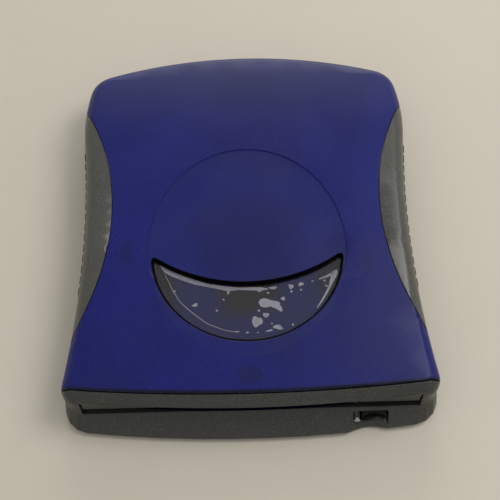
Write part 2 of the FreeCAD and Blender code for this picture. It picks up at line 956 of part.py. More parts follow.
def pad_form(proud):
    """The strip's upright block with rounded ends, between two insets of the outline."""
    height = pad_high_z - pad_low_z
    outside = Part.Face(outline(-proud, pad_low_z)).extrude(vec(0, 0, height))
    inside = Part.Face(outline(pad_depth, pad_low_z)).extrude(vec(0, 0, height))
    block = box(grip_reach_x, crown_reach, pad_from_y, pad_to_y, pad_low_z, pad_high_z)
    block = bevelled(block, pad_corner, along_x)
    return outside.cut(inside).common(block)


def grip_pad():
    pad = pad_form(pad_proud)
    count = int((pad_to_y - pad_from_y - 2 * pad_rib_pitch) / pad_rib_pitch)
    start = (pad_from_y + pad_to_y) / 2 - count * pad_rib_pitch / 2
    half = pad_rib_groove / 2
    grooves = []
    for i in range(count + 1):
        y = start + i * pad_rib_pitch
        x = waist_centre.x - math.sqrt(waist_radius**2 - (y - waist_y) ** 2) + pad_proud
        groove = box(x - pad_groove_depth, far, y - half, y + half, 0, high)
        grooves.append(groove)
    return pad.cut(Part.makeCompound(grooves)).Solids[0]


def rubber_feet():
    feet = []
    for x, y in foot_places:
        foot = post(x, y, 0, foot_radius, underside_z, post_sides)
        rim = [e for e in foot.Edges if e.BoundBox.ZMax < 0.01]
        feet.append(foot.makeChamfer(foot_edge, rim))
    return Part.makeCompound(feet)


def case_screws():
    screws = []
    z = underside_z + screw_seat_depth
    for x, y in front_screw_places + rear_screw_places:
        head = post(x, y, z, screw_head_radius, screw_head_height, post_sides)
        screw = head.fuse(post(x, y, z, screw_radius, screw_length, screw_sides))
        screws.append(screw.removeSplitter())
    return Part.makeCompound(screws)


def dust_flap():
    half = flap_half_width
    back = flap_front_y + flap_thickness
    plate = box(-half, half, flap_front_y, back, flap_bottom_z, flap_pivot_z)
    low = [e for e in edges_along(plate, along_x) if e.BoundBox.ZMax < flap_pivot_z - 1]
    plate = plate.makeChamfer(flap_edge, low)
    y = flap_pivot_y
    z = flap_pivot_z
    barrel = post(-half, y, z, flap_barrel_radius, 2 * half, pin_sides, along_x)
    rib_y = back + flap_rib_depth
    rib = box(-half, half, back, rib_y, flap_rib_z, flap_rib_z + flap_rib_height)
    bore = post(-half, y, z, flap_pin_radius + running_gap, 2 * half, pin_sides, along_x)
    return plate.fuse(barrel).fuse(rib).cut(bore).removeSplitter()


def flap_pin():
    half = slot_half_width + flap_pin_grip
    return rod(-half, flap_pivot_y, flap_pivot_z, flap_pin_radius, 2 * half, along_x)


def slope_y(z):
    """Where the sloped chin lies, on the middle line, at a height."""
    share = (z - chin_foot_z) / (slot_lip_z - chin_foot_z)
    return chin_front_y + share * (lip_y - chin_front_y)


def button_front_block():
    """A cutting block in front of the chin's slope, drawn in at the button."""
    bow = scallop_x**2 / (2 * chin_bow_radius)
    back = bow + button_inset
    points = (
        vec(0, slope_y(chin_foot_z) + back, chin_foot_z),
        vec(0, slope_y(slot_lip_z) + button_inset, slot_lip_z),
        vec(0, -far, slot_lip_z),
        vec(0, -far, chin_foot_z),
    )
    face = Part.Face(Part.makePolygon(points + points[:1]))
    return face.extrude(vec(far, 0, 0))


def button_middle_x():
    return (button_left + aperture_right - button_gap) / 2


def eject_button():
    left = button_left
    right = aperture_right - button_gap
    low = aperture_low + button_gap
    top = aperture_high - button_gap
    x = button_middle_x()
    body = box(left, right, -far, button_back_y, low, top)
    body = body.makeFillet(button_corner, edges_along(body, along_y))
    body = body.cut(button_front_block())
    hollow_y = slope_y((low + top) / 2) + button_inset + button_scoop_depth
    scoop = rod(x, hollow_y + button_scoop_depth - button_scoop_radius, 0, button_scoop_radius, high)
    body = body.cut(scoop)
    reach = button_flange_reach
    flange_back = button_flange_y + button_flange_thickness
    flange_top = top - button_flange_drop
    flange = box(left - reach, right + reach, button_flange_y, flange_back, low, flange_top)
    half = button_stem_half_width
    stem = box(x - half, x + half, flange_back, button_stem_end_y, button_stem_low, button_stem_high)
    return body.fuse(flange).fuse(stem).removeSplitter()


def button_spring():
    """A wave-shaped leaf between the button and the small wall behind it."""
    step = (spring_stop_y - button_back_y) / spring_leaf_bends
    right = []
    left = []
    for i in range(spring_leaf_bends + 1):
        x = spring_leaf_x + (spring_leaf_swing if i % 2 else -spring_leaf_swing)
        y = button_back_y + i * step
        right.append((x + spring_leaf_slant, y))
        left.append((x - spring_leaf_slant, y))
    return prism(right + left[::-1], spring_leaf_low, spring_leaf_high)


def light_pipe():
    y = slope_y(pipe_z) + pipe_recess
    return post(pipe_x, y, pipe_z, pipe_radius, pipe_end_y - y, shaft_sides, along_y)


def lamp_front_y():
    return pipe_end_y + lamp_gap + lamp_dome_length


def activity_led():
    y = lamp_front_y()
    half = lamp_half_width
    top = pipe_z + lamp_radius + free_gap
    body = box(pipe_x - half, pipe_x + half, y, y + lamp_length, board_top, top)
    front = y - lamp_dome_length
    dome = post(pipe_x, front, pipe_z, lamp_radius, lamp_dome_length, post_sides, along_y)
    return body.fuse(dome)


def eject_switch():
    x = button_middle_x()
    half = switch_half_width
    top = board_top + switch_height
    body = box(x - half, x + half, switch_y, switch_y + switch_length, board_top, top)
    half = switch_tip_half_width
    front = switch_y - switch_tip_length
    tip = box(x - half, x + half, front, switch_y, button_stem_low, button_stem_high)
    return body.fuse(tip.common(box(0, far, -far, 0, board_top, high)))


def guide_rail():
    ledge_low = bay_floor - rail_ledge_height
    x0 = rail_inner_x
    post_x1 = rail_post_x + rail_post_width
    rail = box(x0, rail_ledge_x, rail_ledge_front_y, rail_rear_y, ledge_low, bay_floor)
    rail = rail.fuse(box(x0, x0 + rail_web, rail_front_y, rail_rear_y, floor_top, ledge_low))
    y0, y1 = rail_front_post
    rail = rail.fuse(box(rail_post_x, post_x1, y0, y1, floor_top, shield_z))
    rail = rail.fuse(box(x0, post_x1, y0, y1, ledge_low, bay_floor))
    y0, y1 = rail_rear_post
    rail = rail.fuse(box(x0, shield_half_width, y0, y1, floor_top, shield_z))
    for y in ramp_pin_places:
        rail = rail.cut(ramp_slot(y))
    foot_x1 = rail_foot_x1
    for y in rail_foot_places:
        half = rail_foot_half_length
        foot_top = floor_top + rail_foot_thickness
        foot = box(x0 + rail_web, foot_x1, y - half, y + half, floor_top, foot_top)
        rail = rail.fuse(foot)
    return rail.removeSplitter()


def ramp_slot(y):
    """The sloped slot that a platform pin climbs as the platform moves to the rear."""
    radius = ramp_pin_radius + ramp_pin_gap
    length = rail_web + rail_gap
    start = vec(rail_inner_x - rail_gap / 2, y, ramp_pin_z)
    travel = vec(0, load_travel, load_rise)
    across = unit(vec(0, -load_rise, load_travel)) * radius
    corners = [start + across, start + travel + across, start + travel - across, start - across]
    face = Part.Face(Part.makePolygon(corners + corners[:1]))
    slot = face.extrude(vec(length, 0, 0))
    for p in (start, start + travel):
        slot = slot.fuse(post(p.x, p.y, p.z, radius, length, post_sides, along_x))
    return slot


def platform_pins():
    """Ears and pins at the deck's sides, which ride in the rails' slots."""
    pieces = []
    outer = deck_half_width
    inner = deck_half_width - deck_thickness
    low = ramp_pin_z - ramp_pin_radius
    length = rail_inner_x + rail_web - outer + running_gap
    for y in ramp_pin_places:
        ear = box(inner, outer, y - ear_half_length, y + ear_half_length, low, deck_top)
        x = outer - running_gap
        pin = post(x, y, ramp_pin_z, ramp_pin_radius, length, post_sides, along_x)
        pieces += [ear, pin, mirrored(ear), mirrored(pin)]
    return pieces


def motor_platform():
    half = deck_half_width
    tail = deck_tail_half_width
    points = (
        (-half, deck_front_y),
        (half, deck_front_y),
        (half, deck_wide_rear_y),
        (tail, deck_wide_rear_y),
        (tail, deck_rear_y),
        (-tail, deck_rear_y),
        (-tail, deck_wide_rear_y),
        (-half, deck_wide_rear_y),
    )
    deck = bevelled(prism(points, deck_bottom, deck_top), deck_corner)
    deck = deck.cut(post(0, spindle_y, 0, motor_radius - motor_rim, high, disc_sides))
    x0 = deck_opening_x - deck_opening_half_width
    x1 = deck_opening_x + deck_opening_half_width
    opening = box(x0, x1, deck_opening_from_y, deck_opening_to_y, 0, high)
    opening = bevelled(opening, deck_opening_corner)
    deck = deck.cut(opening).cut(mirrored(opening))
    for piece in platform_pins():
        deck = deck.fuse(piece)
    x0 = bumper_inner_x
    x1 = bumper_outer_x
    bumper = box(x0, x1, bumper_y, actuator_front_y, deck_bottom, bumper_top_z)
    deck = deck.fuse(bumper).fuse(mirrored(bumper))
    half = bracket_outer_x
    deck = deck.fuse(box(-half, half, actuator_rear_y, deck_rear_y, deck_bottom, bumper_top_z))
    deck = deck.fuse(post(post_x, post_y, deck_bottom, post_radius, post_height, pin_sides))
    return deck.removeSplitter().cut(guide_rods())


def spindle_base():
    """The motor's stator plate under the platform, with its bearing tube."""
    z = motor_bottom_z
    plate = post(0, spindle_y, z, motor_radius, deck_bottom - z, disc_sides)
    tube = post(0, spindle_y, z, bearing_radius, bearing_top_z - z, shaft_sides)
    base = plate.fuse(tube).removeSplitter()
    bore_radius = shaft_radius + running_gap
    return base.cut(post(0, spindle_y, z + bearing_floor, bore_radius, high, shaft_sides))


def stator_coils():
    coils = []
    for i in range(coil_count):
        angle = 2 * math.pi * i / coil_count
        x = coil_ring_radius * math.cos(angle)
        y = spindle_y + coil_ring_radius * math.sin(angle)
        coils.append(post(x, y, deck_bottom, coil_radius, stator_coil_height, screw_sides))
    return Part.makeCompound(coils)


def spindle_rotor():
    cup = post(0, spindle_y, rotor_bottom_z, rotor_radius, rotor_height, disc_sides)
    top = rotor_bottom_z + rotor_height - 0.01
    rim = [e for e in cup.Edges if e.BoundBox.ZMin > top]
    cup = cup.makeChamfer(rotor_edge, rim)
    well = post(0, spindle_y, rotor_bottom_z, rotor_well_radius, rotor_well_depth, shaft_sides)
    bore_radius = shaft_radius / math.cos(math.pi / shaft_sides)
    return cup.cut(well).cut(post(0, spindle_y, 0, bore_radius, high, shaft_sides))


def hub_magnet():
    z = rotor_bottom_z + rotor_height
    ring = post(0, spindle_y, z, hub_magnet_radius, hub_magnet_height, disc_sides)
    return ring.cut(post(0, spindle_y, 0, hub_magnet_hole_radius, high, shaft_sides))


def spindle_shaft():
    bottom = motor_bottom_z + bearing_floor + running_gap
    top = bay_floor - shaft_clearance
    return rod(0, spindle_y, bottom, shaft_radius, top - bottom)


def guide_rods():
    length = deck_rear_y - bumper_y
    rods = []
    for x in (-guide_rod_x, guide_rod_x):
        rods.append(post(x, bumper_y, guide_rod_z, guide_rod_radius, length, post_sides, along_y))
    return Part.makeCompound(rods)


def head_carriage():
    low = guide_rod_z - carriage_half_height
    top = guide_rod_z + carriage_half_height
    half = carriage_half_width
    body = box(-half, half, carriage_front_y, carriage_rear_y, low, top)
    half = carriage_well_half_width
    well_front = carriage_front_y + carriage_front_rail
    body = body.cut(box(-half, half, well_front, carriage_rear_y - carriage_rear_rail, 0, high))
    half = carriage_nose_half_width
    drop = carriage_nose_drop
    nose_y = carriage_front_y - carriage_nose_length
    body = body.fuse(box(-half, half, nose_y, carriage_front_y, low + drop, top - drop))
    bore_radius = guide_rod_radius + running_gap
    for x in (-guide_rod_x, guide_rod_x):
        body = body.cut(post(x, 0, guide_rod_z, bore_radius, far, post_sides, along_y))
    return body


def arm_face_z(side):
    """Top or bottom face of the carriage's nose, where a head arm lies."""
    return guide_rod_z + side * (carriage_half_height - carriage_nose_drop)


def head_arm(side):
    root = carriage_front_y - arm_root_gap
    z = arm_face_z(side)
    z0 = z if side > 0 else z - arm_thickness
    shoulder = root - arm_root_length
    tip = root - arm_length
    points = (
        (-arm_root_half_width, root),
        (arm_root_half_width, root),
        (arm_root_half_width, shoulder),
        (arm_tip_half_width, tip),
        (-arm_tip_half_width, tip),
        (-arm_root_half_width, shoulder),
    )
    return prism(points, z0, z0 + arm_thickness)


def read_heads():
    front = carriage_front_y - arm_root_gap - arm_length + slider_setback
    half = slider_half_width
    heads = []
    for side in (-1, 1):
        z = arm_face_z(side)
        z0 = z - slider_height if side > 0 else z
        heads.append(box(-half, half, front, front + slider_length, z0, z0 + slider_height))
    return Part.makeCompound(heads)


def voice_coils():
    front = carriage_front_y + coil_setback
    x0 = carriage_half_width
    x1 = x0 + coil_width
    low = guide_rod_z - coil_height / 2
    top = guide_rod_z + coil_height / 2
    coil = box(x0, x1, front, carriage_rear_y, low, top)
    coil = bevelled(coil, coil_corner, along_y)
    side = coil_side_wall
    coil = coil.cut(box(x0 + side, x1 - side, 0, far, low + coil_top_wall, top - coil_top_wall))
    return Part.makeCompound([coil, mirrored(coil)])


def inner_yokes():
    x0 = carriage_half_width + coil_side_wall + yoke_gap
    x1 = carriage_half_width + coil_width - coil_side_wall - yoke_gap
    half = coil_height / 2 - coil_top_wall - yoke_gap
    z = guide_rod_z
    yoke = box(x0, x1, actuator_front_y, actuator_rear_y, z - half, z + half)
    return Part.makeCompound([yoke, mirrored(yoke)])


def magnet_bars():
    x0 = carriage_half_width + coil_width + yoke_gap
    front = actuator_front_y + magnet_end_gap
    rear = actuator_rear_y - magnet_end_gap
    half = magnet_half_height
    z = guide_rod_z
    magnet = box(x0, x0 + magnet_thickness, front, rear, z - half, z + half)
    return Part.makeCompound([magnet, mirrored(magnet)])


def yoke_plates():
    x0 = carriage_half_width + coil_width + yoke_gap + magnet_thickness
    x1 = x0 + yoke_thickness
    plate = box(x0, x1, actuator_front_y, actuator_rear_y, deck_top, yoke_top_z)
    return Part.makeCompound([plate, mirrored(plate)])


def platform_springs():
    """Two compression springs between the deck's rear edges and their posts."""
    wire = platform_spring_wire
    front = deck_wide_rear_y + wire
    length = spring_post_y - wire - front
    count = platform_spring_turns * platform_spring_bends
    points = []
    for i in range(count + 1):
        turn = 2 * math.pi * i / platform_spring_bends
        x = platform_spring_x + platform_spring_radius * math.cos(turn)
        z = platform_spring_z + platform_spring_radius * math.sin(turn)
        points.append(vec(x, front + length * i / count, z))
    first = points[1] - points[0]
    square = unit(first.cross(along_y)) * wire
    lift = unit(first.cross(square)) * wire
    start = points[0]
    corners = [start + square, start + lift, start - square, start - lift]
    section = Part.makePolygon(corners + corners[:1])
    spring = Part.makePolygon(points).makePipeShell([section], True, False, 1)
    return Part.makeCompound([spring, mirrored(spring)])


def main_board():
    half = board_half_width
    points = (
        (-half, board_front_y),
        (half, board_front_y),
        (half, board_rear_y),
        (board_rear_left_x, board_rear_y),
        (board_rear_left_x, board_side_rear_y),
        (-half, board_side_rear_y),
    )
    board = bevelled(prism(points, board_bottom, board_top), board_corner)
    reach = motor_radius + board_window_gap
    rear = spindle_y + load_travel + reach
    window = bevelled(box(-reach, reach, spindle_y - reach, rear, 0, high), board_window_corner)
    board = board.cut(window)
    gap = board_notch_gap
    half = lamp_radius + gap
    board = board.cut(box(pipe_x - half, pipe_x + half, -far, lamp_front_y(), 0, high))
    half = spring_post_half_width + gap
    post_rear = spring_post_y + spring_post_thickness + gap
    notch_front = spring_post_y - gap
    x = platform_spring_x
    board = board.cut(box(x - half, x + half, notch_front, post_rear, 0, high))
    return board


def board_chips():
    chips = []
    for x, y, width, length, height in chip_places:
        half_x = width / 2
        half_y = length / 2
        top = board_top + height
        chips.append(box(x - half_x, x + half_x, y - half_y, y + half_y, board_top, top))
    return Part.makeCompound(chips)


def usb_socket():
    y1 = socket_mouth_y()
    half = socket_width / 2
    top = board_top + socket_height
    shell = box(socket_x - half, socket_x + half, y1 - socket_depth, y1, board_top, top)
    upper = [e for e in edges_along(shell, along_y) if e.BoundBox.ZMin > board_top + 1]
    shell = shell.makeChamfer(socket_chamfer, upper)
    middle_z = board_top + socket_height / 2
    half_x = socket_mouth_width / 2
    half_z = socket_mouth_height / 2
    back = y1 - socket_mouth_depth
    low = middle_z - half_z
    mouth = box(socket_x - half_x, socket_x + half_x, back, far, low, middle_z + half_z)
    upper = [e for e in edges_along(mouth, along_y) if e.BoundBox.ZMin > middle_z]
    return shell.cut(mouth.makeChamfer(socket_mouth_chamfer, upper))


def usb_insert():
    z = board_top + socket_height / 2
    back = socket_mouth_y() - socket_mouth_depth
    half_x = tongue_width / 2
    half_z = tongue_height / 2
    x = socket_x
    return box(x - half_x, x + half_x, back, back + tongue_length, z - half_z, z + half_z)


def top_shield():
    top = shield_z + shield_thickness
    half = shield_half_width
    ear = shield_ear_x
    points = (
        (-ear, shield_front_y),
        (ear, shield_front_y),
        (ear, shield_ear_rear_y),
        (half, shield_neck_y),
        (half, shield_rear_y),
        (-half, shield_rear_y),
        (-half, shield_neck_y),
        (-ear, shield_ear_rear_y),
    )
    sheet = prism(points, shield_z, top)
    x0, x1, y0, y1 = shield_window
    sheet = sheet.cut(bevelled(box(x0, x1, y0, y1, 0, high), shield_window_corner))
    for x, y in front_screw_places + rear_screw_places:
        sheet = sheet.cut(post(x, y, 0, lid_boss_radius + shield_boss_gap, high, post_sides))
    half = shield_rib_half_length
    width = shield_rib_width
    for y in shield_rib_places:
        rib = box(-half, half, y, y + width, top - shield_rib_root, top + shield_rib_height)
        sheet = sheet.fuse(bevelled(rib, width / 3))
    return sheet


def link_place():
    """Where the plunger's pin stands in the lever's tail, half a swing before straight."""
    half_swing = math.radians(latch_swing / 2)
    x = latch_x - latch_tail_length * math.sin(half_swing)
    y = latch_y + latch_tail_length * math.cos(half_swing)
    return x, y


def latch_lever():
    z0 = latch_z
    z1 = latch_z + latch_thickness
    pivot = (latch_x, latch_y)
    tip = (latch_tip_x, latch_tip_y)
    link = link_place()
    lever = post(latch_x, latch_y, z0, latch_hub_radius, latch_thickness, shaft_sides)
    lever = lever.fuse(bar(pivot, tip, latch_root_half_width, latch_tip_radius, z0, z1))
    lever = lever.fuse(post(tip[0], tip[1], z0, latch_tip_radius, latch_thickness, pin_sides))
    lever = lever.fuse(bar(pivot, link, latch_tail_radius, latch_tail_radius, z0, z1))
    lever = lever.fuse(post(link[0], link[1], z0, latch_tail_radius, latch_thickness, pin_sides))
    lever = lever.cut(post(link[0], link[1], 0, link_pin_radius + link_pin_gap, high, pin_sides))
    bore_radius = latch_pin_radius + running_gap
    return lever.cut(post(latch_x, latch_y, 0, bore_radius, high, pin_sides)).removeSplitter()


def latch_pin():
    z1 = latch_z + latch_thickness + latch_head_gap
    pin = rod(latch_x, latch_y, floor_top, latch_pin_radius, z1 - floor_top)
    head = post(latch_x, latch_y, z1, latch_pin_head_radius, latch_pin_head_height, pin_sides)
    return pin.fuse(head)


def eject_solenoid():
    y = link_place()[1]
    x0 = solenoid_x - solenoid_length / 2
    x1 = solenoid_x + solenoid_length / 2
    half = solenoid_width / 2
    body = box(x0, x1, y - half, y + half, floor_top, solenoid_top_z)
    upper = [e for e in edges_along(body, along_x) if e.BoundBox.ZMin > plunger_z]
    body = body.makeChamfer(solenoid_edge, upper)
    bore_x = x0 + solenoid_back_wall
    bore_radius = plunger_radius + plunger_gap
    return body.cut(post(bore_x, y, plunger_z, bore_radius, far, pin_sides, along_x))


def solenoid_plunger():
    x, y = link_place()
    x0 = solenoid_x - solenoid_length / 2 + plunger_inset
    length = x + plunger_nose - x0
    plunger = post(x0, y, plunger_z, plunger_radius, length, pin_sides, along_x)
    pin_top = latch_z + latch_thickness + link_pin_proud
    return plunger.fuse(post(x, y, plunger_z, link_pin_radius, pin_top - plunger_z, pin_sides))


def build():
    nodes["top_shell"] = top_shell()
    nodes["base_tray"] = base_tray()
    nodes["front_bezel"] = front_bezel()
    nodes["window_lens"] = window_lens()
    nodes["window_film"] = window_film()
    nodes["side_grip_right"] = side_grip()
    nodes["side_grip_left"] = mirrored(nodes["side_grip_right"])
    nodes["grip_pad_right"] = grip_pad()
    nodes["grip_pad_left"] = mirrored(nodes["grip_pad_right"])
    nodes["rubber_feet"] = rubber_feet()
    nodes["case_screws"] = case_screws()
    nodes["dust_flap"] = dust_flap()
    nodes["flap_pin"] = flap_pin()
    nodes["eject_button"] = eject_button()
    nodes["button_spring"] = button_spring()
    nodes["light_pipe"] = light_pipe()
    nodes["activity_led"] = activity_led()
    nodes["eject_switch"] = eject_switch()
    nodes["guide_rail_right"] = guide_rail()
    nodes["guide_rail_left"] = mirrored(nodes["guide_rail_right"])
    nodes["motor_platform"] = motor_platform()
    nodes["spindle_base"] = spindle_base()
    nodes["stator_coils"] = stator_coils()
    nodes["spindle_rotor"] = spindle_rotor()
    nodes["hub_magnet"] = hub_magnet()
    nodes["spindle_shaft"] = spindle_shaft()
    nodes["guide_rods"] = guide_rods()
    nodes["head_carriage"] = head_carriage()
    nodes["head_arm_upper"] = head_arm(1)
    nodes["head_arm_lower"] = head_arm(-1)
    nodes["read_heads"] = read_heads()
    nodes["voice_coils"] = voice_coils()
    nodes["inner_yokes"] = inner_yokes()
    nodes["magnet_bars"] = magnet_bars()
    nodes["yoke_plates"] = yoke_plates()
    nodes["platform_springs"] = platform_springs()
    nodes["main_board"] = main_board()
    nodes["board_chips"] = board_chips()
    nodes["usb_socket"] = usb_socket()
    nodes["usb_insert"] = usb_insert()
    nodes["top_shield"] = top_shield()
    nodes["latch_lever"] = latch_lever()
    nodes["latch_pin"] = latch_pin()
    nodes["eject_solenoid"] = eject_solenoid()
    nodes["solenoid_plunger"] = solenoid_plunger()


build()
os.makedirs("parts", exist_ok=True)
for name, shape in nodes.items():
    shape.exportStep("parts/" + name + ".step")
    valid = shape.isValid()
    print(name, "solids", len(shape.Solids), "valid", valid, "volume", round(shape.Volume, 1))
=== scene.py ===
# %% [markdown]
# # A desktop drive for removable disk cartridges
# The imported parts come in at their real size, in metres, with +Z up and the slot towards -Y.
# This file dresses them: it adds the fine pieces that solids leave out, gives every surface
# its finish, and sets up the table, the light and the camera.

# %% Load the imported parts
import bmesh
import bpy
import json
import math
from mathutils import Matrix, Vector
from mathutils.bvhtree import BVHTree
from mathutils.interpolate import poly_3d_calc


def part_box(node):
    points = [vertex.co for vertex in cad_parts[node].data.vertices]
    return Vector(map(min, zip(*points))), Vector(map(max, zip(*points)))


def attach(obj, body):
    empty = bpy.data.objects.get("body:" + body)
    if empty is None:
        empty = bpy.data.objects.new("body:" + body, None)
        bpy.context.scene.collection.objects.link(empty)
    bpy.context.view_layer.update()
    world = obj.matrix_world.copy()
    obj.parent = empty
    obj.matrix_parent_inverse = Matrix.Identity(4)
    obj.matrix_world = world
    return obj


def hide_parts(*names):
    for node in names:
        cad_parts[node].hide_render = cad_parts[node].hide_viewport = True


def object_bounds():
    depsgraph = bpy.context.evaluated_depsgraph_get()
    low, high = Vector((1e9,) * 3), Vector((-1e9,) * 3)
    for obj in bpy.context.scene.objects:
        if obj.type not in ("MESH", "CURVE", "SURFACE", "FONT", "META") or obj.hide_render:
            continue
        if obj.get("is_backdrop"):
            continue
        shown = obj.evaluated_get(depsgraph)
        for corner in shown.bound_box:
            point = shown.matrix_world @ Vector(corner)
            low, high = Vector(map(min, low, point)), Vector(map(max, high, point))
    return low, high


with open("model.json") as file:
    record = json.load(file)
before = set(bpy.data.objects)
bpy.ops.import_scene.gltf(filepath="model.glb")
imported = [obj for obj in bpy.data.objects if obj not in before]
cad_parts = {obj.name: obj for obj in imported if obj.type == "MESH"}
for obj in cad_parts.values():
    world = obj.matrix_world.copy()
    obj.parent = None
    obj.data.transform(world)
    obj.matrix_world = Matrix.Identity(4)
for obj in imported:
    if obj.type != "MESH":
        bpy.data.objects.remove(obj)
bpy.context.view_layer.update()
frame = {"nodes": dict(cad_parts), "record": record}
NODES = frame["nodes"]
BODIES = frame["record"]["behaviour"]["bodies"]
BODY_OF = {node: body for body, members in BODIES.items() for node in members}
SLOT_OF = {row["node"]: row["material_slot"] for row in frame["record"]["subparts"]}
MM = 0.001
UP = Vector((0, 0, 1))

# %% [markdown]
# ## The camera's place
# The picture was taken from in front and well above, with a long lens, so the drive keeps
# almost straight sides. A 72 mm lens on a 36 mm sensor puts 1000 pixels of focal length on
# a 500 pixel frame. The camera rolls slightly, as in the picture.

# %% Camera
FRAME_PIXELS = 500
LENS_MM = 72.0
SENSOR_MM = 36.0
ELEVATION = math.radians(61.0)
ROLL = math.radians(-1.55)
DISTANCE = 323.4 * MM
AIM = Vector((0, 0, 10.0)) * MM
SHIFT_PIXELS = (-3.5, 19.7)


def add_object(name, data):
    """Put an object with this data into the scene."""
    thing = bpy.data.objects.new(name, data)
    bpy.context.scene.collection.objects.link(thing)
    return thing


toward_camera = Vector((0, -math.cos(ELEVATION), math.sin(ELEVATION)))
camera_data = bpy.data.cameras.new("camera")
camera_data.lens = LENS_MM
camera_data.sensor_width = SENSOR_MM
camera_data.shift_x = -SHIFT_PIXELS[0] / FRAME_PIXELS
camera_data.shift_y = -SHIFT_PIXELS[1] / FRAME_PIXELS
camera_data.clip_start = 1 * MM
camera = add_object("camera", camera_data)
camera.rotation_euler = (
    Matrix.Rotation(math.pi / 2 - ELEVATION, 3, "X") @ Matrix.Rotation(ROLL, 3, "Z")
).to_euler()
camera.location = AIM + toward_camera * DISTANCE
bpy.context.scene.camera = camera
bpy.context.scene.view_settings.view_transform = "Standard"


def photo_point(px, py, z):
    """The place at a height that the camera sees at a pixel of the picture."""
    focal = LENS_MM / SENSOR_MM * FRAME_PIXELS
    x = (px - FRAME_PIXELS / 2 - SHIFT_PIXELS[0]) / focal
    y = (FRAME_PIXELS / 2 - py - SHIFT_PIXELS[1]) / focal
    ray = camera.rotation_euler.to_matrix() @ Vector((x, y, -1))
    return camera.location + ray * ((z - camera.location.z) / ray.z)


print("camera at", [round(v, 3) for v in camera.location])

# %% [markdown]
# ## Table and light
# The drive lies on a pale, warm table under soft room light. A large lamp up on the right
# gives the direction. A second one stands low behind, like a window, and brightens only
# what leans to the rear. The world fills in the rest. Neither lamp stands where the flat
# window in the lid would mirror it into the camera.

# %% Light
# name, place and size in metres, power in watts
LAMPS = (
    ("key_lamp", Vector((0.52, 0.16, 0.72)), 0.45, 3.4),
    ("window_lamp", Vector((0.05, 1.10, 0.38)), 0.7, 4.2),
)
LAMP_COLOUR = (1.0, 0.985, 0.96)
ROOM_COLOUR = (1.0, 0.99, 0.965, 1.0)
ROOM_STRENGTH = 0.58

for name, place, size, watts in LAMPS:
    data = bpy.data.lights.new(name, "AREA")
    data.shape = "SQUARE"
    data.size = size
    data.energy = watts
    data.color = LAMP_COLOUR
    lamp = add_object(name, data)
    lamp.location = place
    lamp.rotation_euler = (-place).to_track_quat("-Z", "Y").to_euler()
world = bpy.data.worlds.new("room")
world.use_nodes = True
background = world.node_tree.nodes["Background"]
background.inputs["Color"].default_value = ROOM_COLOUR
background.inputs["Strength"].default_value = ROOM_STRENGTH
bpy.context.scene.world = world
print("lamps", [row[0] for row in LAMPS])

# %% [markdown]
# ## Shared effects
# Several finishes show the same things: a moulded grain, tiny flecks in the paint, uneven
# gloss where hands have been, and streaks from rolling or grinding. Each is a node group
# with its own inputs, placed in a material with that material's values. Everything is
# measured in object coordinates, so a pattern keeps its real size on every piece.


# %% Node helpers
def node_group(name, inputs, outputs):
    tree = bpy.data.node_groups.new(name, "ShaderNodeTree")
    for label, kind, value in inputs:
        socket = tree.interface.new_socket(label, in_out="INPUT", socket_type="NodeSocket" + kind)
        socket.default_value = value
    for label, kind in outputs:
        tree.interface.new_socket(label, in_out="OUTPUT", socket_type="NodeSocket" + kind)
    given = tree.nodes.new("NodeGroupInput").outputs
    return tree, given, tree.nodes.new("NodeGroupOutput").inputs


def connect(tree, target, source):
    """Feed an input from another node's output, or set it to a plain value."""
    if isinstance(source, bpy.types.NodeSocket):
        tree.links.new(source, target)
    else:
        target.default_value = source


def math_node(tree, operation, a, b=0.0, clamp=False):
    node = tree.nodes.new("ShaderNodeMath")
    node.operation = operation
    node.use_clamp = clamp
    connect(tree, node.inputs[0], a)
    connect(tree, node.inputs[1], b)
    return node.outputs[0]


def mix_node(tree, share, a, b):
    node = tree.nodes.new("ShaderNodeMix")
    node.data_type = "RGBA"
    connect(tree, node.inputs[0], share)
    connect(tree, node.inputs[6], a)
    connect(tree, node.inputs[7], b)
    return node.outputs[2]


def range_node(tree, value, low, high, out_low=0.0, out_high=1.0):
    node = tree.nodes.new("ShaderNodeMapRange")
    node.interpolation_type = "SMOOTHSTEP"
    for socket, source in zip(node.inputs, (value, low, high, out_low, out_high)):
        connect(tree, socket, source)
    return node.outputs["Result"]


def vector_node(tree, operation, a, b=None):
    node = tree.nodes.new("ShaderNodeVectorMath")
    node.operation = operation
    connect(tree, node.inputs[0], a)
    if b is not None:
        connect(tree, node.inputs["Scale" if operation == "SCALE" else 1], b)
    return node.outputs["Value" if operation == "LENGTH" else "Vector"]


def place_node(tree):
    return tree.nodes.new("ShaderNodeTexCoord").outputs["Object"]


def place_parts(tree):
    """The X, the Y and the Z of a place on the object."""
    split = tree.nodes.new("ShaderNodeSeparateXYZ")
    tree.links.new(place_node(tree), split.inputs[0])
    return split.outputs["X"], split.outputs["Y"], split.outputs["Z"]


def noise_node(tree, scale, detail=2.0, vector=None):
    node = tree.nodes.new("ShaderNodeTexNoise")
    connect(tree, node.inputs["Vector"], place_node(tree) if vector is None else vector)
    connect(tree, node.inputs["Scale"], scale)
    node.inputs["Detail"].default_value = detail
    return node.outputs["Fac"]


def clouds(tree, scale, detail, *limits):
    """Noise, drawn out between two limits."""
    return range_node(tree, noise_node(tree, scale, detail), *limits)


# %% [markdown]
# A moulded plastic skin is never one flat colour. Broad noise shifts the colour and the
# gloss a little, fine noise above a threshold gives the flecks, and finer noise still is
# the grain that a spark-eroded mould leaves, fed to a bump node. Sizes go in as millimetres
# and become a noise scale by dividing 1 / MM by them.


# %% Effect: moulded skin
BROAD_SCALE = 45.0
FLECK_LIMITS = (0.55, 0.68)


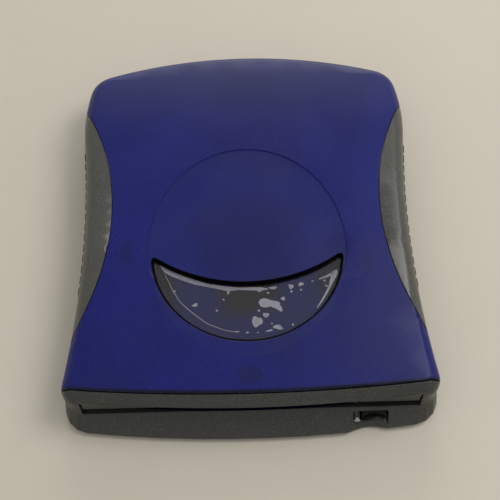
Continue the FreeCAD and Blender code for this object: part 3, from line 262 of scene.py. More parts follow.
def put_out(tree, given, result, colour, level, swing, height, depth):
    """Wire a group's outputs: a colour times a level, a swinging gloss, and a bump."""
    connect(tree, result["Color"], vector_node(tree, "SCALE", colour, level))
    rough = math_node(tree, "ADD", given["Roughness"], swing, clamp=True)
    connect(tree, result["Roughness"], rough)
    bump = tree.nodes.new("ShaderNodeBump")
    connect(tree, bump.inputs["Height"], height)
    connect(tree, bump.inputs["Distance"], math_node(tree, "MULTIPLY", depth, MM))
    connect(tree, result["Normal"], bump.outputs["Normal"])


tree, given, result = node_group(
    "moulded skin",
    (
        ("Color", "Color", (0.1, 0.1, 0.1, 1)),
        ("Fleck Color", "Color", (0.2, 0.2, 0.2, 1)),
        ("Fleck Amount", "Float", 0.0),
        ("Fleck Size", "Float", 0.3),
        ("Unevenness", "Float", 0.1),
        ("Roughness", "Float", 0.4),
        ("Grain Size", "Float", 0.25),
        ("Grain Depth", "Float", 0.01),
    ),
    (("Color", "Color"), ("Roughness", "Float"), ("Normal", "Vector")),
)
fleck_scale = math_node(tree, "DIVIDE", 1 / MM, given["Fleck Size"])
fleck = clouds(tree, fleck_scale, 1.0, *FLECK_LIMITS)
fleck = math_node(tree, "MULTIPLY", fleck, given["Fleck Amount"])
flecked = mix_node(tree, fleck, given["Color"], given["Fleck Color"])
swing = math_node(tree, "SUBTRACT", noise_node(tree, BROAD_SCALE, 3.0), 0.5)
swing = math_node(tree, "MULTIPLY", swing, given["Unevenness"])
level = math_node(tree, "ADD", 1.0, math_node(tree, "MULTIPLY", swing, 2.0))
grain_scale = math_node(tree, "DIVIDE", 1 / MM, given["Grain Size"])
grain = noise_node(tree, grain_scale)
put_out(tree, given, result, flecked, level, swing, grain, given["Grain Depth"])
MOULDED_SKIN = tree

# %% [markdown]
# Rolled sheet, ground rod and drawn wire all carry fine lines in one direction. Squeezing
# the coordinates along that direction before the noise stretches it into streaks.

# %% Effect: worked metal
CLOUD_SCALE = 90.0
tree, given, result = node_group(
    "worked metal",
    (
        ("Color", "Color", (0.5, 0.5, 0.5, 1)),
        ("Streaks", "Vector", (1.0, 0.05, 1.0)),
        ("Streak Size", "Float", 0.15),
        ("Unevenness", "Float", 0.12),
        ("Roughness", "Float", 0.3),
        ("Depth", "Float", 0.004),
    ),
    (("Color", "Color"), ("Roughness", "Float"), ("Normal", "Vector")),
)
squeezed = vector_node(tree, "MULTIPLY", place_node(tree), given["Streaks"])
line_scale = math_node(tree, "DIVIDE", 1 / MM, given["Streak Size"])
lines = noise_node(tree, line_scale, vector=squeezed)
both = math_node(tree, "ADD", lines, noise_node(tree, CLOUD_SCALE, 3.0))
swing = math_node(tree, "SUBTRACT", both, 1.0)
swing = math_node(tree, "MULTIPLY", swing, given["Unevenness"])
level = math_node(tree, "ADD", 1.0, swing)
colour, depth = given["Color"], given["Depth"]
put_out(tree, given, result, colour, level, swing, lines, depth)
WORKED_METAL = tree

# %% [markdown]
# What lies close under a frosted wall shows through it as a soft-edged shadow. One group
# gives such a patch: the distance from a centre, measured in the patch's own half sizes,
# turned into a mask that fades at the rim.

# %% Effect: soft patch
tree, given, result = node_group(
    "soft patch",
    (
        ("Centre", "Vector", (0.0, 0.0, 0.0)),
        ("Half Size", "Vector", (1.0, 1.0, 1.0)),
        ("Softness", "Float", 0.3),
    ),
    (("Mask", "Float"),),
)
away = vector_node(tree, "SUBTRACT", place_node(tree), given["Centre"])
share = vector_node(tree, "DIVIDE", away, given["Half Size"])
inner = math_node(tree, "SUBTRACT", 1.0, given["Softness"])
mask = range_node(tree, vector_node(tree, "LENGTH", share), inner, 1.0, 1.0, 0.0)
connect(tree, result["Mask"], mask)
SOFT_PATCH = tree
print("shared effects", [g.name for g in bpy.data.node_groups])

# %% [markdown]
# ## Finishes
# Plain finishes differ only in their values, so two short helpers make them: one for
# plastics and rubber, one for metals. What is the same all over a surface, such as the coat
# or the way it lets light through, is set on the shader itself.


# %% Material helpers
MATERIALS = {}


def rgb(red, green, blue):
    return (red, green, blue, 1.0)


def blank_material(name):
    material = bpy.data.materials.new(name)
    material.use_nodes = True
    MATERIALS[name] = material
    return material.node_tree, material.node_tree.nodes["Principled BSDF"]


def effect(tree, group, **values):
    """Place a shared effect, with a value or another node's output for each named input."""
    node = tree.nodes.new("ShaderNodeGroup")
    node.node_tree = group
    for label, value in values.items():
        connect(tree, node.inputs[label.replace("_", " ").title()], value)
    return node


def tinted(tree, colour, tint, share, centre, half_size, softness):
    """Mix a share of a tint into a colour, inside one soft patch."""
    patch = effect(tree, SOFT_PATCH, centre=centre, half_size=half_size, softness=softness)
    share = math_node(tree, "MULTIPLY", patch.outputs["Mask"], share)
    return mix_node(tree, share, colour, tint)


def set_shader(shader, **values):
    for label, value in values.items():
        shader.inputs[label.replace("_", " ").title().replace("Ior", "IOR")].default_value = value


def wear(tree, shader, group, constants=None, **values):
    """Feed the shader from an effect, and set what is the same all over."""
    node = effect(tree, group, **values)
    for label in ("Color", "Roughness", "Normal"):
        target = shader.inputs["Base Color" if label == "Color" else label]
        tree.links.new(node.outputs[label], target)
    set_shader(shader, **(constants or {}))


def plastic(name, color, fleck=None, **values):
    wear(*blank_material(name), MOULDED_SKIN, color=color, fleck_color=fleck or color, **values)


def metal(name, color, **values):
    wear(*blank_material(name), WORKED_METAL, {"metallic": 1.0}, color=color, **values)


# %% [markdown]
# The lid is deep blue plastic, frosted on the outside. From above it reads as a dark, saturated blue.
# Towards the rear, where it rolls over and mirrors the bright room, a painted reflection turns it
# greyer. The sunk oval gets a painted lighter shading, and where the ribs under the lid show through,
# painted shadows lie: two hooks and a half-round clip. The front edge is thick and lets no light
# through, so a painted shade darkens it to a line along the seam.

# %% Finish: frosted blue lid
LID_BLUE = rgb(0.004, 0.008, 0.160)
LID_FLECK_AND_PAINTED_LIGHT = rgb(0.032, 0.038, 0.120)
LID_PAINTED_SHADOW_AND_MOTTLE = rgb(0.003, 0.004, 0.050)
REAR_PAINTED_REFLECTION = (30 * MM, 62 * MM, 0.0, 0.55)
OVAL_CENTRE = Vector((0, -11.4, 20.0)) * MM
OVAL_HALF = Vector((31.0, 36.0, 60.0)) * MM
OVAL_SOFTNESS = 0.02
CORE_HALF = Vector((24.0, 26.0, 60.0)) * MM
HOOK_HALF = Vector((2.4, 6.0, 40.0)) * MM
CLIP_HALF = Vector((4.8, 3.4, 40.0)) * MM
# share, centre, half size and softness of what shows through as a shadow
SHADOWS = (
    (0.40, OVAL_CENTRE, CORE_HALF, 0.7),
    (0.35, Vector((-37.2, -12.0, 18.0)) * MM, HOOK_HALF, 0.55),
    (0.35, Vector((37.2, -18.0, 18.0)) * MM, HOOK_HALF, 0.55),
    (0.50, Vector((0, -52.4, 18.0)) * MM, CLIP_HALF, 0.45),
)
# painted shade along the seam: where the seam lies, and how the dark band fades behind it
EDGE_Y = -57.7 * MM
EDGE_RADIUS = 570 * MM
SEAM_SHADE_FADE = (0.525 * MM, 1.5 * MM, 0.96, 0.0)
SEAM_PAINTED_SHADE = rgb(0.0, 0.0, 0.004)
# scale and detail of the noise, the limits it is drawn out between, and what they become
OVAL_PAINTED_LIGHT_CLOUDS = (38.0, 4.0, 0.35, 0.7, 0.1125, 0.27)
DARK_CLOUDS = (30.0, 5.0, 0.42, 0.66, 0.0, 0.32)

tree, shader = blank_material("lid_blue")
x, y = place_parts(tree)[:2]
# painted reflection: greyer towards the rear, where the lid rolls over and mirrors the room
colour = mix_node(tree, range_node(tree, y, *REAR_PAINTED_REFLECTION), LID_BLUE, LID_FLECK_AND_PAINTED_LIGHT)
# painted lighter shading inside the sunk oval, made cloudy by noise
oval_painted_light = clouds(tree, *OVAL_PAINTED_LIGHT_CLOUDS)
colour = tinted(tree, colour, LID_FLECK_AND_PAINTED_LIGHT, oval_painted_light, OVAL_CENTRE, OVAL_HALF, OVAL_SOFTNESS)
for share, centre, half_size, softness in SHADOWS:
    colour = tinted(tree, colour, LID_PAINTED_SHADOW_AND_MOTTLE, share, centre, half_size, softness)
# painted shade: a dark line along the seam, where the thick front edge lets no light through
bow = math_node(tree, "DIVIDE", math_node(tree, "MULTIPLY", x, x), 2 * EDGE_RADIUS)
behind_edge = math_node(tree, "SUBTRACT", y, math_node(tree, "ADD", bow, EDGE_Y))
colour = mix_node(tree, range_node(tree, behind_edge, *SEAM_SHADE_FADE), colour, SEAM_PAINTED_SHADE)
# random darker mottling over the whole lid, in the colour of the painted shadows
colour = mix_node(tree, clouds(tree, *DARK_CLOUDS), colour, LID_PAINTED_SHADOW_AND_MOTTLE)
wear(
    tree, shader, MOULDED_SKIN, color=colour, fleck_color=LID_FLECK_AND_PAINTED_LIGHT, fleck_amount=0.25,
    fleck_size=0.5, unevenness=0.16, roughness=0.38, grain_size=0.35, grain_depth=0.012,
    constants={"transmission_weight": 0.2, "ior": 1.45, "specular_ior_level": 0.24},
)
print("lid finish has", len(tree.nodes), "nodes")

# %% [markdown]
# The front bezel is dark grey plastic with a metallic fleck. Behind the slot's lip its walls get a
# painted shade, near black, which is why the slot reads as one black line. A mask in object coordinates
# marks those walls.

# %% Finish: flecked bezel with painted shade in the slot
BEZEL_GREY = rgb(0.022, 0.022, 0.019)
BEZEL_FLECK = rgb(0.075, 0.075, 0.066)
SLOT_PAINTED_SHADE = rgb(0.001, 0.001, 0.001)
SLOT_HALF_WIDTH = 50.3 * MM
SLOT_LOW = 6.3 * MM
SLOT_TOP = 14.3 * MM
SLOT_SHADE_FROM = -59.1 * MM
SLOT_SHADE_BLUR = 0.1 * MM
PAINT_ROUGHNESS = 0.36
SLOT_ROUGHER = 0.6

tree, shader = blank_material("bezel_grey")
x, y, z = place_parts(tree)
# painted shade inside the slot, masked by position; the same mask makes those walls rougher
slot_shade = range_node(tree, y, SLOT_SHADE_FROM - SLOT_SHADE_BLUR, SLOT_SHADE_FROM)
for limit in (
    (math_node(tree, "ABSOLUTE", x), SLOT_HALF_WIDTH, SLOT_HALF_WIDTH + SLOT_SHADE_BLUR, 1.0, 0.0),
    (z, SLOT_LOW - SLOT_SHADE_BLUR, SLOT_LOW, 0.0, 1.0),
    (z, SLOT_TOP, SLOT_TOP + SLOT_SHADE_BLUR, 1.0, 0.0),
):
    slot_shade = math_node(tree, "MULTIPLY", slot_shade, range_node(tree, *limit))
wear(
    tree, shader, MOULDED_SKIN, color=mix_node(tree, slot_shade, BEZEL_GREY, SLOT_PAINTED_SHADE),
    fleck_color=mix_node(tree, slot_shade, BEZEL_FLECK, SLOT_PAINTED_SHADE), fleck_amount=0.6,
    fleck_size=0.42, unevenness=0.12, grain_size=0.3, grain_depth=0.012,
    roughness=math_node(
        tree, "ADD", PAINT_ROUGHNESS, math_node(tree, "MULTIPLY", slot_shade, SLOT_ROUGHER)
    ),
    constants={"coat_weight": 0.1, "coat_roughness": 0.2},
)
print("the slot is black from y", round(SLOT_SHADE_FROM / MM, 1), "mm")

# %% [markdown]
# The side panels are a lighter grey of the same kind, and the strips in them are black
# rubber. The eject button is glossy black. The dust flap is plain grey.

# %% Finishes: plastics and rubber
plastic(
    "grip_grey", rgb(0.045, 0.045, 0.039), fleck=rgb(0.12, 0.12, 0.105), fleck_amount=0.5,
    fleck_size=0.45, unevenness=0.12, roughness=0.34, grain_size=0.3, grain_depth=0.010,
    constants={"coat_weight": 0.2, "coat_roughness": 0.2},
)
plastic(
    "tray_blue", rgb(0.010, 0.013, 0.105), fleck=rgb(0.02, 0.025, 0.15), fleck_amount=0.3,
    fleck_size=0.5, unevenness=0.15, roughness=0.42, grain_size=0.4, grain_depth=0.02,
    constants={"transmission_weight": 0.1, "ior": 1.49},
)
plastic(
    "pad_rubber", rgb(0.020, 0.020, 0.019), fleck=rgb(0.06, 0.06, 0.055), fleck_amount=0.4,
    fleck_size=0.25, unevenness=0.2, roughness=0.72, grain_size=0.2, grain_depth=0.02,
)
plastic(
    "foot_rubber", rgb(0.022, 0.022, 0.022), fleck=rgb(0.07, 0.07, 0.06), fleck_amount=0.5,
    fleck_size=0.4, unevenness=0.25, roughness=0.8, grain_size=0.3, grain_depth=0.03,
)
plastic(
    "button_black", rgb(0.003, 0.003, 0.003), unevenness=0.04, roughness=0.16,
    grain_size=0.5, grain_depth=0.001, constants={"specular_ior_level": 0.16},
)
# black for the printed border on the lens, with painted shade at its rim, and for the painted shade
# lining the window's wall
plastic(
    "window_print_and_shade_black", rgb(0.0008, 0.0008, 0.003), unevenness=0.05, roughness=0.35, grain_size=0.4,
    grain_depth=0.002, constants={"specular_ior_level": 0.08},
)
plastic(
    "flap_grey", rgb(0.060, 0.068, 0.058), fleck=rgb(0.11, 0.12, 0.10), fleck_amount=0.4,
    fleck_size=0.4, unevenness=0.12, roughness=0.45, grain_size=0.3, grain_depth=0.012,
)
plastic("switch_black", rgb(0.015, 0.015, 0.016), unevenness=0.15, roughness=0.5, grain_depth=0.01)
plastic("rail_white", rgb(0.60, 0.60, 0.55), unevenness=0.06, roughness=0.5, grain_depth=0.01)
plastic("carriage_plastic", rgb(0.035, 0.035, 0.036), unevenness=0.15, roughness=0.42, grain_depth=0.01)
plastic("insert_white", rgb(0.72, 0.72, 0.68), unevenness=0.05, roughness=0.45, grain_depth=0.008)
plastic("slider_ceramic", rgb(0.10, 0.09, 0.08), unevenness=0.2, roughness=0.25, grain_depth=0.002)
plastic(
    "chip_black", rgb(0.018, 0.018, 0.019), fleck=rgb(0.05, 0.05, 0.05), fleck_amount=0.5,
    fleck_size=0.2, unevenness=0.1, roughness=0.55, grain_size=0.15, grain_depth=0.012,
)
print("plastics", len(MATERIALS))

# %% [markdown]
# Inside are the metals: plated sheet, ground rods, bright screws, drawn spring wire, the
# copper of the windings and the dark skin of the magnets.

# %% Finishes: metals
ALONG_X = (0.05, 1.0, 1.0)
ALONG_Y = (1.0, 0.05, 1.0)
EVEN = (1.0, 1.0, 1.0)
metal("deck_steel", rgb(0.50, 0.50, 0.48), streaks=ALONG_Y, roughness=0.38)
metal("yoke_steel", rgb(0.46, 0.46, 0.44), streaks=EVEN, roughness=0.32)
metal("shield_steel", rgb(0.60, 0.61, 0.61), streaks=ALONG_X, roughness=0.34)
metal("rotor_steel", rgb(0.62, 0.62, 0.60), streaks=EVEN, streak_size=0.4, roughness=0.2)
metal("rod_steel", rgb(0.66, 0.66, 0.66), streaks=ALONG_Y, roughness=0.12)
metal("screw_steel", rgb(0.55, 0.54, 0.50), streaks=EVEN, roughness=0.26)
metal("spring_steel", rgb(0.55, 0.55, 0.54), streaks=ALONG_Y, roughness=0.24)
metal("lever_steel", rgb(0.50, 0.50, 0.49), streaks=ALONG_X, roughness=0.32)
metal("solenoid_steel", rgb(0.40, 0.40, 0.41), streaks=ALONG_X, roughness=0.4)
metal("socket_steel", rgb(0.64, 0.64, 0.63), streaks=ALONG_Y, roughness=0.24)
metal("coil_copper", rgb(0.56, 0.22, 0.08), streaks=EVEN, roughness=0.28)
metal("magnet_black", rgb(0.10, 0.10, 0.11), streaks=EVEN, roughness=0.45)
metal("contact_gold", rgb(0.80, 0.58, 0.22), streaks=ALONG_Y, roughness=0.22)
metal("solder_bright", rgb(0.62, 0.62, 0.60), streaks=EVEN, roughness=0.3)
print("materials so far", len(MATERIALS))

# %% [markdown]
# The board is fibreglass under green lacquer. Copper tracks lie under the lacquer as
# slightly paler lines. A brick pattern with long bricks and thin mortar is a cheap and
# convincing stand-in for a routed board.

# %% Finish: lacquered board
BOARD_GREEN = rgb(0.010, 0.090, 0.035)
BOARD_TRACK = rgb(0.030, 0.190, 0.070)
tree, shader = blank_material("board_green")
tracks = tree.nodes.new("ShaderNodeTexBrick")
tree.links.new(place_node(tree), tracks.inputs["Vector"])
tracks.offset = 0.37
for label, value in (
    ("Scale", 100.0), ("Mortar Size", 0.012), ("Brick Width", 1.3), ("Row Height", 0.12),
    ("Mortar Smooth", 0.0), ("Color1", BOARD_GREEN), ("Color2", BOARD_GREEN), ("Mortar", BOARD_TRACK),
):
    tracks.inputs[label].default_value = value
wear(
    tree, shader, MOULDED_SKIN, color=tracks.outputs["Color"], fleck_color=BOARD_TRACK,
    fleck_amount=0.1, unevenness=0.1, roughness=0.3, grain_size=0.4, grain_depth=0.004,
    constants={"coat_weight": 0.3, "coat_roughness": 0.15},
)
print("board tracks every", 100.0 / tracks.inputs["Scale"].default_value, "cm")

# %% [markdown]
# The window is one smoky moulding, glossy and clear enough to see the film under it. The
# film is blue, and brown in its middle and at its tips. It has come away in places: what is
# left of its silver coating shows as pale patches.

# %% Finishes: window, film, light pipe and lamp
plastic(
    "lens_smoke", rgb(0.70, 0.70, 0.76), fleck=rgb(0.6, 0.6, 0.7), unevenness=0.03,
    roughness=0.05, grain_size=0.6, grain_depth=0.0005,
    constants={"transmission_weight": 1.0, "ior": 1.46, "specular_ior_level": 0.3},
)
plastic(
    "film_silver", rgb(0.80, 0.80, 0.82), fleck=rgb(0.52, 0.54, 0.62), fleck_amount=0.6,
    fleck_size=1.1, unevenness=0.25, roughness=0.4, grain_size=0.5, grain_depth=0.01,
)
plastic(
    "lamp_green", rgb(0.10, 0.45, 0.14), unevenness=0.05, roughness=0.15, grain_depth=0.002,
    constants={"transmission_weight": 0.6, "ior": 1.5},
)

FILM_BROWN = rgb(0.026, 0.018, 0.017)
FILM_BLUE = rgb(0.008, 0.020, 0.165)
# distance from the middle line, and distance along Y, where brown ends and where it is full
MIDDLE_ACROSS = (16 * MM, 8 * MM)
MIDDLE_ALONG = (-39 * MM, -32 * MM)
TIPS_ACROSS = (22 * MM, 28 * MM)
FILM_WOBBLE = 6 * MM
WOBBLE_NOISE = (160.0, 3.0)
tree, shader = blank_material("film_smoke")
x, y = place_parts(tree)[:2]
wobble = math_node(tree, "MULTIPLY", noise_node(tree, *WOBBLE_NOISE), FILM_WOBBLE)
across = math_node(tree, "ADD", math_node(tree, "ABSOLUTE", x), wobble)
along = range_node(tree, math_node(tree, "SUBTRACT", y, wobble), *MIDDLE_ALONG)
middle = math_node(tree, "MULTIPLY", range_node(tree, across, *MIDDLE_ACROSS), along)
brown = math_node(tree, "MAXIMUM", middle, range_node(tree, across, *TIPS_ACROSS))
wear(
    tree, shader, MOULDED_SKIN, color=mix_node(tree, brown, FILM_BLUE, FILM_BROWN),
    fleck_color=FILM_BLUE, fleck_amount=0.3, fleck_size=0.8, unevenness=0.3, roughness=0.6,
    grain_depth=0.005, constants={"specular_ior_level": 0.1},
)

# painted shade: a dark disc in the dimple at the pipe's end
PIPE_PALE = rgb(0.62, 0.62, 0.58)
DIMPLE_PAINTED_SHADE = rgb(0.004, 0.004, 0.004)
DIMPLE_SHARE = 0.62
DIMPLE_SOFTNESS = 0.5
pipe_low, pipe_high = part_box("light_pipe")
pipe_middle = (pipe_low + pipe_high) / 2
pipe_radius = (pipe_high.x - pipe_low.x) / 2
dimple_half = Vector((DIMPLE_SHARE * pipe_radius, 1.0, DIMPLE_SHARE * pipe_radius))
tree, shader = blank_material("pipe_clear")
wear(
    tree, shader, MOULDED_SKIN, unevenness=0.02, roughness=0.12, grain_depth=0.001,
    color=tinted(tree, PIPE_PALE, DIMPLE_PAINTED_SHADE, 1.0, pipe_middle, dimple_half, DIMPLE_SOFTNESS),
    constants={"transmission_weight": 0.25, "ior": 1.49},
)
print("materials", sorted(MATERIALS))

# %% [markdown]
# ## Dressing the solids
# The nodes that already have the right shape keep it, and only get their finish. Their
# meshes are loose triangles, so curved walls look faceted. For those that show, a copy is
# merged, its shallow folds are shaded smooth, its real edges stay sharp, and the copy then
# stands for the node.


# %% Helpers: finishing a piece
WELD = 0.002 * MM


def piece_from(bm, name, body, slot, fold=35.0, material=None):
    """Turn a bmesh into a piece that rides a body and has the look of its slot.

    Folds below the angle, in degrees, are shaded smooth. The look is the slot's own, unless
    a material is named.
    """
    mesh = bpy.data.meshes.new(name)
    bm.to_mesh(mesh)
    bm.free()
    mesh.shade_smooth()
    mesh.set_sharp_from_angle(angle=math.radians(fold))
    mesh.materials.append(MATERIALS[material or slot])
    piece = add_object(name, mesh)
    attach(piece, body)
    return piece


def welded(bm):
    """Join points that lie on each other."""
    bmesh.ops.remove_doubles(bm, verts=bm.verts, dist=WELD)
    return bm


def facing_out(bm):
    bmesh.ops.recalc_face_normals(bm, faces=bm.faces)
    return bm


def merged(node):
    """A bmesh of a node's solid with its loose triangles joined."""
    bm = bmesh.new()
    bm.from_mesh(NODES[node].data)
    return welded(bm)


def shade_evenly(piece):
    """Let large faces steer the shading, so that slivers beside them don't show."""
    weighted = piece.modifiers.new("even shading", "WEIGHTED_NORMAL")
    weighted.keep_sharp = True


# %% [markdown]
# The seam between lid and bezel is almost straight on the real drive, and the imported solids
# bow it more. Every point near the seam moves a little to the rear, most in the middle, so
# the bezel's copy here and the lid's copy further down still meet.

# %% Straight seam
SEAM_Y = -59.2 * MM
SEAM_RADIUS = 334.0 * MM
SEAM_BEND = 1.5 * MM
SEAM_HALF = 50.0 * MM
SEAM_LOW = 13.9 * MM
# distances from the seam where the move starts and is full, then is full and ends
SEAM_FRONT = (-1.3 * MM, -0.7 * MM)
SEAM_REAR = (0.7 * MM, 9.0 * MM)


def straight_seam(bm):
    """Draw the middle of the front seam to the rear, which leaves it almost straight."""
    for vert in bm.verts:
        if vert.co.z <= SEAM_LOW or abs(vert.co.x) >= SEAM_HALF:
            continue
        seam = SEAM_Y + SEAM_RADIUS - math.sqrt(SEAM_RADIUS**2 - vert.co.x**2)
        away = vert.co.y - seam
        rise = (away - SEAM_FRONT[0]) / (SEAM_FRONT[1] - SEAM_FRONT[0])
        fall = (SEAM_REAR[1] - away) / (SEAM_REAR[1] - SEAM_REAR[0])
        share = max(0, min(1, rise, fall)) * (1 - (vert.co.x / SEAM_HALF) ** 2)
        vert.co.y += share * SEAM_BEND
    return bm


print("the seam moves back by up to", SEAM_BEND / MM, "mm")


# %% Finish every node, and smooth the ones that show
for node, thing in NODES.items():
    thing.data.materials.clear()
    thing.data.materials.append(MATERIALS[SLOT_OF[node]])

SMOOTH_NODES = (
    "front_bezel", "base_tray", "side_grip_right", "side_grip_left", "grip_pad_right",
    "grip_pad_left", "eject_button", "dust_flap", "rubber_feet", "spindle_rotor", "hub_magnet",
    "spindle_base", "guide_rods", "latch_lever", "latch_pin", "solenoid_plunger",
)
for node in SMOOTH_NODES:
    skin = merged(node)
    if node == "front_bezel":
        straight_seam(skin)
    piece = piece_from(skin, node + "_skin", BODY_OF[node], SLOT_OF[node])
    shade_evenly(piece)
    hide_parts(node)
    print(piece.name, len(piece.data.polygons), "faces")

# %% [markdown]
# ## The window
# The window is a smile: a round lower edge and a flatter arc above it that meet in two rounded tips.
# The picture shows longer tips than the imported solid has, so the opening is cut again here, and the
# lens, the film, a black border and the painted shade on the opening's wall are made to the same
# outline.
# Two spins of a single point draw the arcs, a fill closes them, and a bevel rounds the tips.

# %% Outline of the window
WINDOW_RADIUS = 29.9 * MM
WINDOW_CENTRE = Vector((0, -12.3, 0)) * MM
UPPER_RADIUS = 49.0 * MM
UPPER_CENTRE = Vector((0, -22.85, 0)) * MM + Vector((0, UPPER_RADIUS, 0))
TIP_ROUND = 2.8 * MM
TIP_STEPS = 5
LOWER_STEPS = 30
UPPER_STEPS = 20
SAME_PLACE = 0.01 * MM
PLATE_FOLD = 30.0


def verts_in(geom):
    return [g for g in geom if isinstance(g, bmesh.types.BMVert)]


def faces_in(geom):
    return [g for g in geom if isinstance(g, bmesh.types.BMFace)]


def inset_rim(bm, face, width):
    """Inset a face evenly from its open edge, and return the rim."""
    return bmesh.ops.inset_region(
        bm, faces=[face], thickness=width, use_boundary=True, use_even_offset=True,
    )["faces"]


def window_face(bm, z, margin=0.0):
    """The window's outline as one face, drawn in by a margin."""
    between = UPPER_CENTRE.y - WINDOW_CENTRE.y
    rise = (WINDOW_RADIUS**2 - UPPER_RADIUS**2 + between**2) / (2 * between)
    tip_x = math.sqrt(WINDOW_RADIUS**2 - rise**2)
    start = WINDOW_CENTRE + Vector((-tip_x, rise, z))
    lower_turn = math.pi - 2 * math.atan2(-rise, tip_x)
    upper_turn = -2 * math.asin(-start.x / UPPER_RADIUS)
    ends = [bm.verts.new(start)]
    for centre, turn, steps in (
        (WINDOW_CENTRE, lower_turn, LOWER_STEPS), (UPPER_CENTRE, upper_turn, UPPER_STEPS),
    ):
        swept = bmesh.ops.spin(
            bm, geom=ends, cent=centre, axis=UP, dvec=(0, 0, 0), angle=turn, steps=steps,
        )
        ends = verts_in(swept["geom_last"])
    bmesh.ops.remove_doubles(bm, verts=bm.verts, dist=SAME_PLACE)
    bmesh.ops.contextual_create(bm, geom=bm.edges)
    tips = [v for v in bm.verts if abs(v.co.y - start.y) < SAME_PLACE]
    bmesh.ops.bevel(
        bm, geom=tips, offset=TIP_ROUND, offset_type="OFFSET", affect="VERTICES",
        segments=TIP_STEPS, profile=0.5, material=-1, clamp_overlap=True,
    )
    face = facing_out(bm).faces[:][0]
    if face.normal.z < 0:
        bmesh.ops.reverse_faces(bm, faces=[face])
    if margin:
        bmesh.ops.delete(bm, geom=inset_rim(bm, face, margin), context="FACES")
    return face


def raise_faces(bm, faces, height):
    """Give faces a thickness, and return the faces on top."""
    raised = bmesh.ops.extrude_face_region(bm, geom=faces)["geom"]
    bmesh.ops.translate(bm, verts=verts_in(raised), vec=UP * height)
    return faces_in(raised)


def window_plate(name, slot, material, z, top, margin):
    """A flat plate in the window's outline, between two heights."""
    bm = bmesh.new()
    raise_faces(bm, [window_face(bm, z, margin)], top - z)
    return piece_from(facing_out(bm), name, "chassis", slot, PLATE_FOLD, material)


print("the window is", round(2 * WINDOW_RADIUS / MM, 1), "mm across its lower arc")

# %% [markdown]
# The lid is cut by a boolean: a tall prism of the outline is taken out of a copy of the
# lid. The lens, the film and the coating then lie above the ledge that the solid has.

# %% Lid, film and lens
LEDGE_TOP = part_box("window_lens")[0].z
LENS_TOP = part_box("window_lens")[1].z
FILM_LOW = LEDGE_TOP + 0.01 * MM
SHEET_TOP = LEDGE_TOP + 0.06 * MM
COATING = 0.04 * MM
LENS_LOW = SHEET_TOP + COATING + 0.05 * MM
LENS_GAP = 0.03 * MM
FILM_GAP = 0.3 * MM
PRISM_LOW = LEDGE_TOP + 0.005 * MM
PRISM_HEIGHT = 20 * MM


def cut_away(bm, prism):
    """Take one closed bmesh out of another."""
    things = []
    for part in (bm, prism):
        mesh = bpy.data.meshes.new("blank")
        part.to_mesh(mesh)
        part.free()
        things.append(add_object("blank", mesh))
    step = things[0].modifiers.new("cut", "BOOLEAN")
    step.operation = "DIFFERENCE"
    step.solver = "EXACT"
    step.object = things[1]
    result = bmesh.new()
    result.from_object(things[0], bpy.context.evaluated_depsgraph_get())
    for thing in things:
        bpy.data.meshes.remove(thing.data)
    return result


prism = bmesh.new()
raise_faces(prism, [window_face(prism, PRISM_LOW)], PRISM_HEIGHT)
facing_out(prism)
reach_x = max(v.co.x for v in prism.verts) + MM
reach_low = min(v.co.y for v in prism.verts) - MM
reach_high = max(v.co.y for v in prism.verts) + MM
lid = welded(cut_away(straight_seam(merged("top_shell")), prism))
skin_tree = BVHTree.FromBMesh(lid)
open_edges = sum(e.is_boundary for e in lid.edges)
lid = piece_from(lid, "top_shell_skin", BODY_OF["top_shell"], SLOT_OF["top_shell"])
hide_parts("top_shell")
film = window_plate(
    "window_film_sheet", "film_silver", "film_smoke", FILM_LOW, SHEET_TOP, FILM_GAP
)
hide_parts("window_film")
lens = window_plate("window_lens_plate", "lens_smoke", "lens_smoke", LENS_LOW, LENS_TOP, LENS_GAP)
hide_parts("window_lens")
print("lid faces", len(lid.data.polygons), "open edges", open_edges)

# %% [markdown]
# A cut leaves long slivers beside the opening, and light runs over them in streaks. The
# whole lid has no such slivers, so its slopes are read at the same places and given to the
# cut one. Close to the opening the dish is almost flat: a corner of a large face that leans
# there has caught the slope of the wall, and takes that of its own face instead.

# %% Shading of the cut lid
LARGE_FACE = 1.0 * MM * MM
LEAN = math.radians(3.0)
TOUCHING = 0.02 * MM
SAME_SLOPE = 0.98
INWARDS = 0.01


def keep_shading(piece, whole):
    """Shade a cut copy as the whole one is shaded, wherever they still share a surface."""
    mesh = whole.evaluated_get(bpy.context.evaluated_depsgraph_get()).to_mesh()
    places = [v.co.copy() for v in mesh.vertices]
    corners = [tuple(face.vertices) for face in mesh.polygons]
    slopes = [
        [mesh.corner_normals[k].vector.copy() for k in face.loop_indices] for face in mesh.polygons
    ]
    tree = BVHTree.FromPolygons(places, corners)
    normals = [n.vector.copy() for n in piece.data.corner_normals]
    for face in piece.data.polygons:
        for k in face.loop_indices:
            corner = piece.data.vertices[piece.data.loops[k].vertex_index].co
            place, slope, found, gap = tree.find_nearest(corner.lerp(face.center, INWARDS))
            if gap >= TOUCHING or slope.dot(face.normal) <= SAME_SLOPE:
                continue
            shares = poly_3d_calc([places[v] for v in corners[found]], place)
            normals[k] = sum((n * s for n, s in zip(slopes[found], shares)), Vector()).normalized()
            near = abs(corner.x) < reach_x and reach_low < corner.y < reach_high
            if near and face.area > LARGE_FACE and normals[k].angle(slope) > LEAN:
                normals[k] = slope
    piece.data.normals_split_custom_set(normals)


whole_lid = straight_seam(merged("top_shell"))
whole_lid = piece_from(whole_lid, "whole_lid", "chassis", "lid_blue")
shade_evenly(whole_lid)
keep_shading(lid, whole_lid)
bpy.data.meshes.remove(whole_lid.data)
print("lid corners shaded", len(lid.data.loops))

# %% [markdown]
# A black border lies on the lens: a printed edge, with painted shade at the lens's rim. A black lining
# on the wall of the opening is painted shade, a dark sheet where the recessed wall lies in shadow. The
# outline is inset twice: the outer ring climbs to the lid's skin, the inner ring stays low on the lens.

